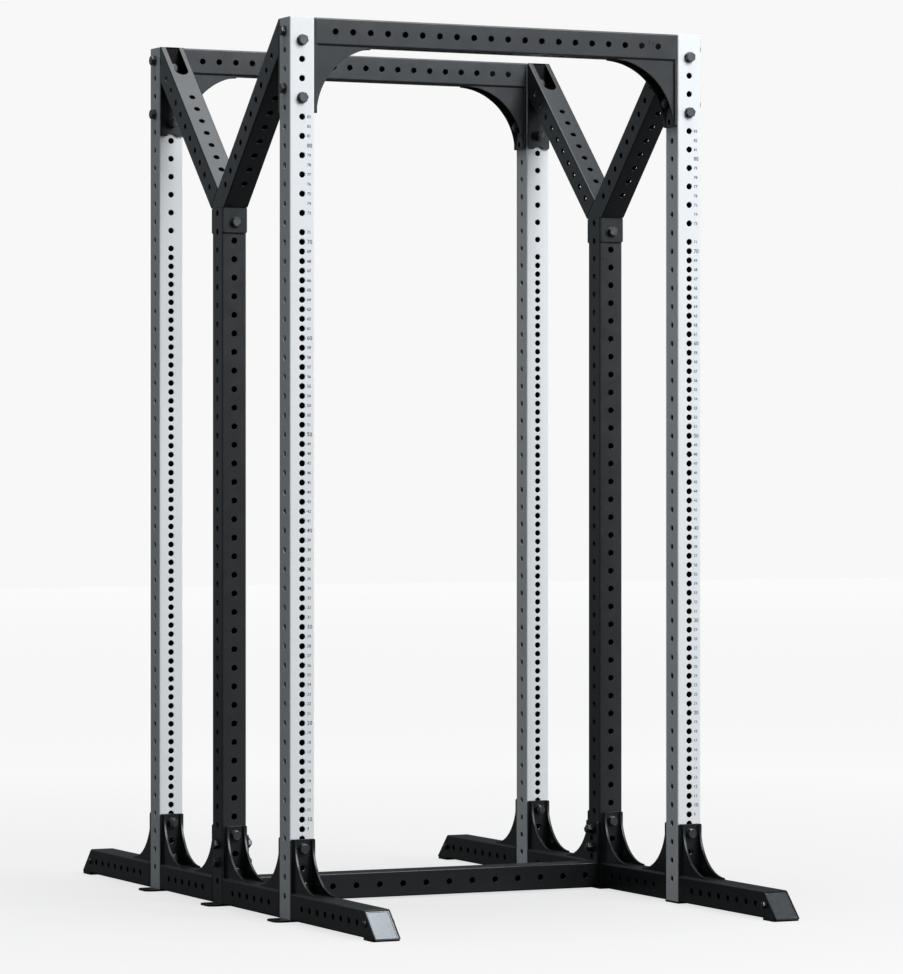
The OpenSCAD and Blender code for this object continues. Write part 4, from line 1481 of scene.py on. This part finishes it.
class CAGE_OT_rubber_shoes(bpy.types.Operator):
    """Makes the rubber shoes under the tips of the feet"""

    bl_idname = "cage.rubber_shoes"
    bl_label = "Rubber Shoes"

    def execute(self, context):
        sizes = context.scene.cage_sizes
        reach, setback, lip, lip_t, edge = 0.06, 0.01, 0.005, 0.0015, 0.0012
        half = sizes.tube / 2 + lip_t
        top = sizes.post_bottom + lip
        outline = [(-half, 0), (half, 0), (half, top)]
        for i in range(CORNER_STEPS + 1):
            angle = -math.pi / 2 * i / CORNER_STEPS
            y = sizes.tube / 2 - sizes.corner + sizes.corner * math.cos(angle)
            z = sizes.post_bottom + sizes.corner + sizes.corner * math.sin(angle)
            outline.append((y, z))
        outline.insert(3, (sizes.tube / 2, top))
        outline += [(-y, z) for y, z in outline[:2:-1]]
        outline.append((-half, top))
        front = sizes.tube / 2 + sizes.foot + sizes.tube - setback
        mesh = slab(outline, reach, edge)
        mesh.materials.append(finish("Shoe Rubber"))
        mesh = moved(mesh, Matrix.Translation((front - reach / 2, 0, 0)) @ STAND_X)
        at_corners("shoe", "rubber_shoe", mesh, sizes)
        return {"FINISHED"}


class CAGE_OT_plates_and_plugs(bpy.types.Operator):
    """Finishes the floor plates and the top plugs, whose frame shapes stay"""

    bl_idname = "cage.plates_and_plugs"
    bl_label = "Floor Plates and Plugs"

    def execute(self, context):
        finishes = {"floor_plate_": "Base Powder Coat", "top_plug_": "Plug Plastic"}
        for name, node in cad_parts.items():
            for start, material in finishes.items():
                if name.startswith(start):
                    node.data.materials.clear()
                    node.data.materials.append(finish(material))
        return {"FINISHED"}


class CAGE_OT_numbers(bpy.types.Operator):
    """Prints the hole numbers beside the rows of the front uprights"""

    bl_idname = "cage.numbers"
    bl_label = "Hole Numbers"

    def execute(self, context):
        sizes = context.scene.cage_sizes
        plan = context.scene.cage_holes
        for side, x in SIDES:
            seed = bpy.data.meshes.new("seed")
            holder = holder_of(seed)
            start = (
                x * sizes.post_x + NUMBERS_OFFSET, -sizes.post_y - sizes.tube / 2 + PRINT_SINK,
                hole_z(sizes, plan.first_number),
            )
            add_tree(
                holder, tree_named("Number Column", number_tree),
                {
                    "First Number": plan.first_number,
                    "Numbers": plan.last_number - plan.first_number + 1,
                    "Left Out": plan.close_end + 1,
                    "Start": start,
                    "Pitch": sizes.pitch,
                    "Finish": finish("Number Print"),
                },
            )
            piece(f"hole_numbers_{side}", evaluated(holder))
        return {"FINISHED"}


class CAGE_OT_fasteners(bpy.types.Operator):
    """Sets the bolts, washers and nuts of every joint"""

    bl_idname = "cage.fasteners"
    bl_label = "Fasteners"

    def execute(self, context):
        sizes = context.scene.cage_sizes
        plan = context.scene.cage_holes
        for seed, (joint, (places, grip)) in enumerate(joint_places(sizes, plan).items()):
            for kind, maker in (("bolts", bolt_mesh), ("washers", washers_mesh), ("nuts", nut_mesh)):
                node = f"{joint}_{kind}"
                placed_fasteners(f"{joint}_hex_{kind}", maker(grip), places, seed, node)
        x_out = sizes.post_x + sizes.tube / 2
        y_out = sizes.post_y + sizes.tube / 2 + sizes.foot_first + FOOT_HOLES * 2 * sizes.pitch
        tips = [((x * x_out, y * y_out, hole_z(sizes, 1)), side_turn(x)) for _, x in SIDES for _, y in ENDS]
        screw_seed, nut_seed = 11, 12
        placed_fasteners("tip_dome_screws", tip_screw_mesh(sizes.tube), tips, screw_seed, "foot_tip_screws")
        placed_fasteners("tip_hex_nuts", tip_nut_mesh(sizes.tube), tips, nut_seed, "foot_tip_nuts")
        return {"FINISHED"}


# Each light's name, place, target and width
LIGHTS = (
    ("front", (3.0, -8.0, 6.9), (0, 0, 1.0), 5.0),
    ("side", (6.5, -5.0, 2.5), (0, 0, 1.0), 3.0),
    ("top", (0.3, -0.2, 6.0), (0.3, -0.2, 0), 4.0),
)

# How the floor's glow changes with the distance from its middle, dimmer near the cage as painted shade under
# it: start, end, low and high
FLOOR_FADE_AND_PAINTED_SHADE = ((0.35, 1.3, 0.86, 0.955), (1.3, 5.0, 0.0, 0.14), (6.0, 30.0, 0.0, 0.07))
FLOOR_SEEN = 0.86

# Tint of the light from all around, and the brightness that shiny faces see to the left and the right
AROUND_TINT = (0.90, 1.0, 1.05, 1)
LEFT_SHARE, RIGHT_SHARE = 1.15, 0.25

CAMERA_PLACE = (-5.063, -10.943, 1.176)
CAMERA_TURN = (math.pi / 2, 0, math.radians(-25.227))
CAMERA_LENS = 161.8
CAMERA_SHIFT = -0.0187


class CAGE_OT_stage(bpy.types.Operator):
    """Makes the pale floor, the soft lights and the camera"""

    bl_idname = "cage.stage"
    bl_label = "Stage"

    def execute(self, context):
        scene = context.scene
        stage = scene.cage_stage
        scene.view_settings.view_transform = "Standard"
        self.make_floor(scene, stage)
        self.make_world(scene, stage)
        for name, place, target, width in LIGHTS:
            self.make_light(f"{name}_light", place, target, width, getattr(stage, name))
        self.make_camera(scene)
        return {"FINISHED"}

    def make_floor(self, scene, stage):
        """Pale floor that the camera sees nearly white and that sends little light back; its glow is dimmer
        near the cage, as painted shade under it
        """
        bm = bmesh.new()
        bmesh.ops.create_grid(bm, x_segments=1, y_segments=1, size=stage.floor_size / 2)
        mesh = bpy.data.meshes.new("floor")
        bm.to_mesh(mesh)
        bm.free()
        floor = bpy.data.objects.new("floor", mesh)
        scene.collection.objects.link(floor)
        material, tree, shader, vector = finish_base("Studio Floor", 0.0)
        seen = add_node(tree, "ShaderNodeLightPath").outputs["Is Camera Ray"]
        level = mapped(tree, seen, stage.bounce, FLOOR_SEEN)
        tint = add_node(tree, "ShaderNodeCombineColor", {0: level, 1: level, 2: level})
        tree.links.new(tint.outputs[0], shader.inputs["Base Color"])
        shader.inputs["Roughness"].default_value = 0.6
        away = add_node(tree, "ShaderNodeVectorMath", {0: vector}, operation="LENGTH").outputs["Value"]
        # The glow is dimmer near the middle: painted shade under the cage
        near, middle, far = [ranged(tree, away, *fade) for fade in FLOOR_FADE_AND_PAINTED_SHADE]
        level = math_node(tree, "ADD", near, math_node(tree, "ADD", middle, far))
        level = math_node(tree, "MULTIPLY", level, stage.backdrop)
        glow = add_node(tree, "ShaderNodeEmission", {"Strength": level, "Color": (1, 1, 1, 1)})
        mix = add_node(
            tree, "ShaderNodeMixShader",
            {0: math_node(tree, "MULTIPLY", seen, FLOOR_SEEN), 1: shader.outputs[0], 2: glow.outputs[0]},
        )
        out = next(n for n in tree.nodes if n.type == "OUTPUT_MATERIAL")
        tree.links.new(mix.outputs[0], out.inputs["Surface"])
        mesh.materials.append(material)

    def make_world(self, scene, stage):
        """Surroundings with one level for the camera, one for reflections and one for soft light"""
        world = bpy.data.worlds.new("Studio")
        scene.world = world
        world.use_nodes = True
        tree = world.node_tree
        background = next(n for n in tree.nodes if n.type == "BACKGROUND")
        path = add_node(tree, "ShaderNodeLightPath").outputs
        tint = add_node(
            tree, "ShaderNodeMix", {0: path["Is Camera Ray"], 6: AROUND_TINT, 7: (1, 1, 1, 1)},
            data_type="RGBA",
        )
        tree.links.new(tint.outputs[2], background.inputs["Color"])
        direction = add_node(tree, "ShaderNodeTexCoord").outputs["Generated"]
        along = add_node(tree, "ShaderNodeSeparateXYZ", {0: direction}).outputs
        left, right = LEFT_SHARE * stage.reflected, RIGHT_SHARE * stage.reflected
        low = ranged(tree, along["X"], -0.45, 0.45, left, right)
        reflected = ranged(tree, along["Z"], 0.25, 0.7, low, stage.reflected)
        around = mapped(tree, path["Is Glossy Ray"], stage.ambient, reflected)
        level = mapped(tree, path["Is Camera Ray"], around, stage.backdrop)
        tree.links.new(level, background.inputs["Strength"])

    def make_light(self, name, place, target, width, power):
        """Square area light that points at its target"""
        light = bpy.data.lights.new(name, "AREA")
        light.shape = "SQUARE"
        light.size = width
        light.energy = power
        lamp = bpy.data.objects.new(name, light)
        lamp.location = place
        lamp.rotation_euler = (Vector(target) - Vector(place)).to_track_quat("-Z", "Y").to_euler()
        bpy.context.scene.collection.objects.link(lamp)

    def make_camera(self, scene):
        data = bpy.data.cameras.new("camera")
        data.lens = CAMERA_LENS
        data.shift_y = CAMERA_SHIFT
        data.clip_end = 200
        camera = bpy.data.objects.new("camera", data)
        camera.location = CAMERA_PLACE
        camera.rotation_euler = CAMERA_TURN
        scene.collection.objects.link(camera)
        scene.camera = camera


class CAGE_PT_panel(bpy.types.Panel):
    """Lists the cage's settings and the operators that make its pieces and stage"""

    bl_idname = "CAGE_PT_panel"
    bl_label = "Power Cage"
    bl_space_type = "VIEW_3D"
    bl_region_type = "UI"
    bl_category = "Power Cage"

    def draw(self, context):
        layout = self.layout
        for name, _ in GROUPS:
            box = layout.box()
            box.label(text=name.replace("_", " ").title())
            group = getattr(context.scene, name)
            for key in group.bl_rna.properties.keys():
                if key not in ("rna_type", "name"):
                    box.prop(group, key)
        for operator in OPERATORS:
            layout.operator(operator.bl_idname)


OPERATORS = (
    CAGE_OT_outer_uprights,
    CAGE_OT_middle_uprights,
    CAGE_OT_crossmembers,
    CAGE_OT_braces,
    CAGE_OT_base,
    CAGE_OT_end_caps,
    CAGE_OT_rubber_shoes,
    CAGE_OT_plates_and_plugs,
    CAGE_OT_numbers,
    CAGE_OT_fasteners,
    CAGE_OT_stage,
)
GROUPS = (
    ("cage_sizes", CageSizes),
    ("cage_holes", CageHoles),
    ("cage_colours", CageColours),
    ("cage_stage", CageStage),
)


def register():
    for name, group in GROUPS:
        bpy.utils.register_class(group)
        setattr(bpy.types.Scene, name, bpy.props.PointerProperty(type=group))
    for operator in OPERATORS:
        bpy.utils.register_class(operator)
    bpy.utils.register_class(CAGE_PT_panel)


def unregister():
    bpy.utils.unregister_class(CAGE_PT_panel)
    for operator in reversed(OPERATORS):
        bpy.utils.unregister_class(operator)
    for name, group in reversed(GROUPS):
        delattr(bpy.types.Scene, name)
        bpy.utils.unregister_class(group)


def main():
    register()
    bpy.ops.cage.outer_uprights()
    bpy.ops.cage.middle_uprights()
    bpy.ops.cage.crossmembers()
    bpy.ops.cage.braces()
    bpy.ops.cage.base()
    bpy.ops.cage.end_caps()
    bpy.ops.cage.rubber_shoes()
    bpy.ops.cage.plates_and_plugs()
    bpy.ops.cage.numbers()
    bpy.ops.cage.fasteners()
    bpy.ops.cage.stage()


if __name__ == "__main__":
    main()
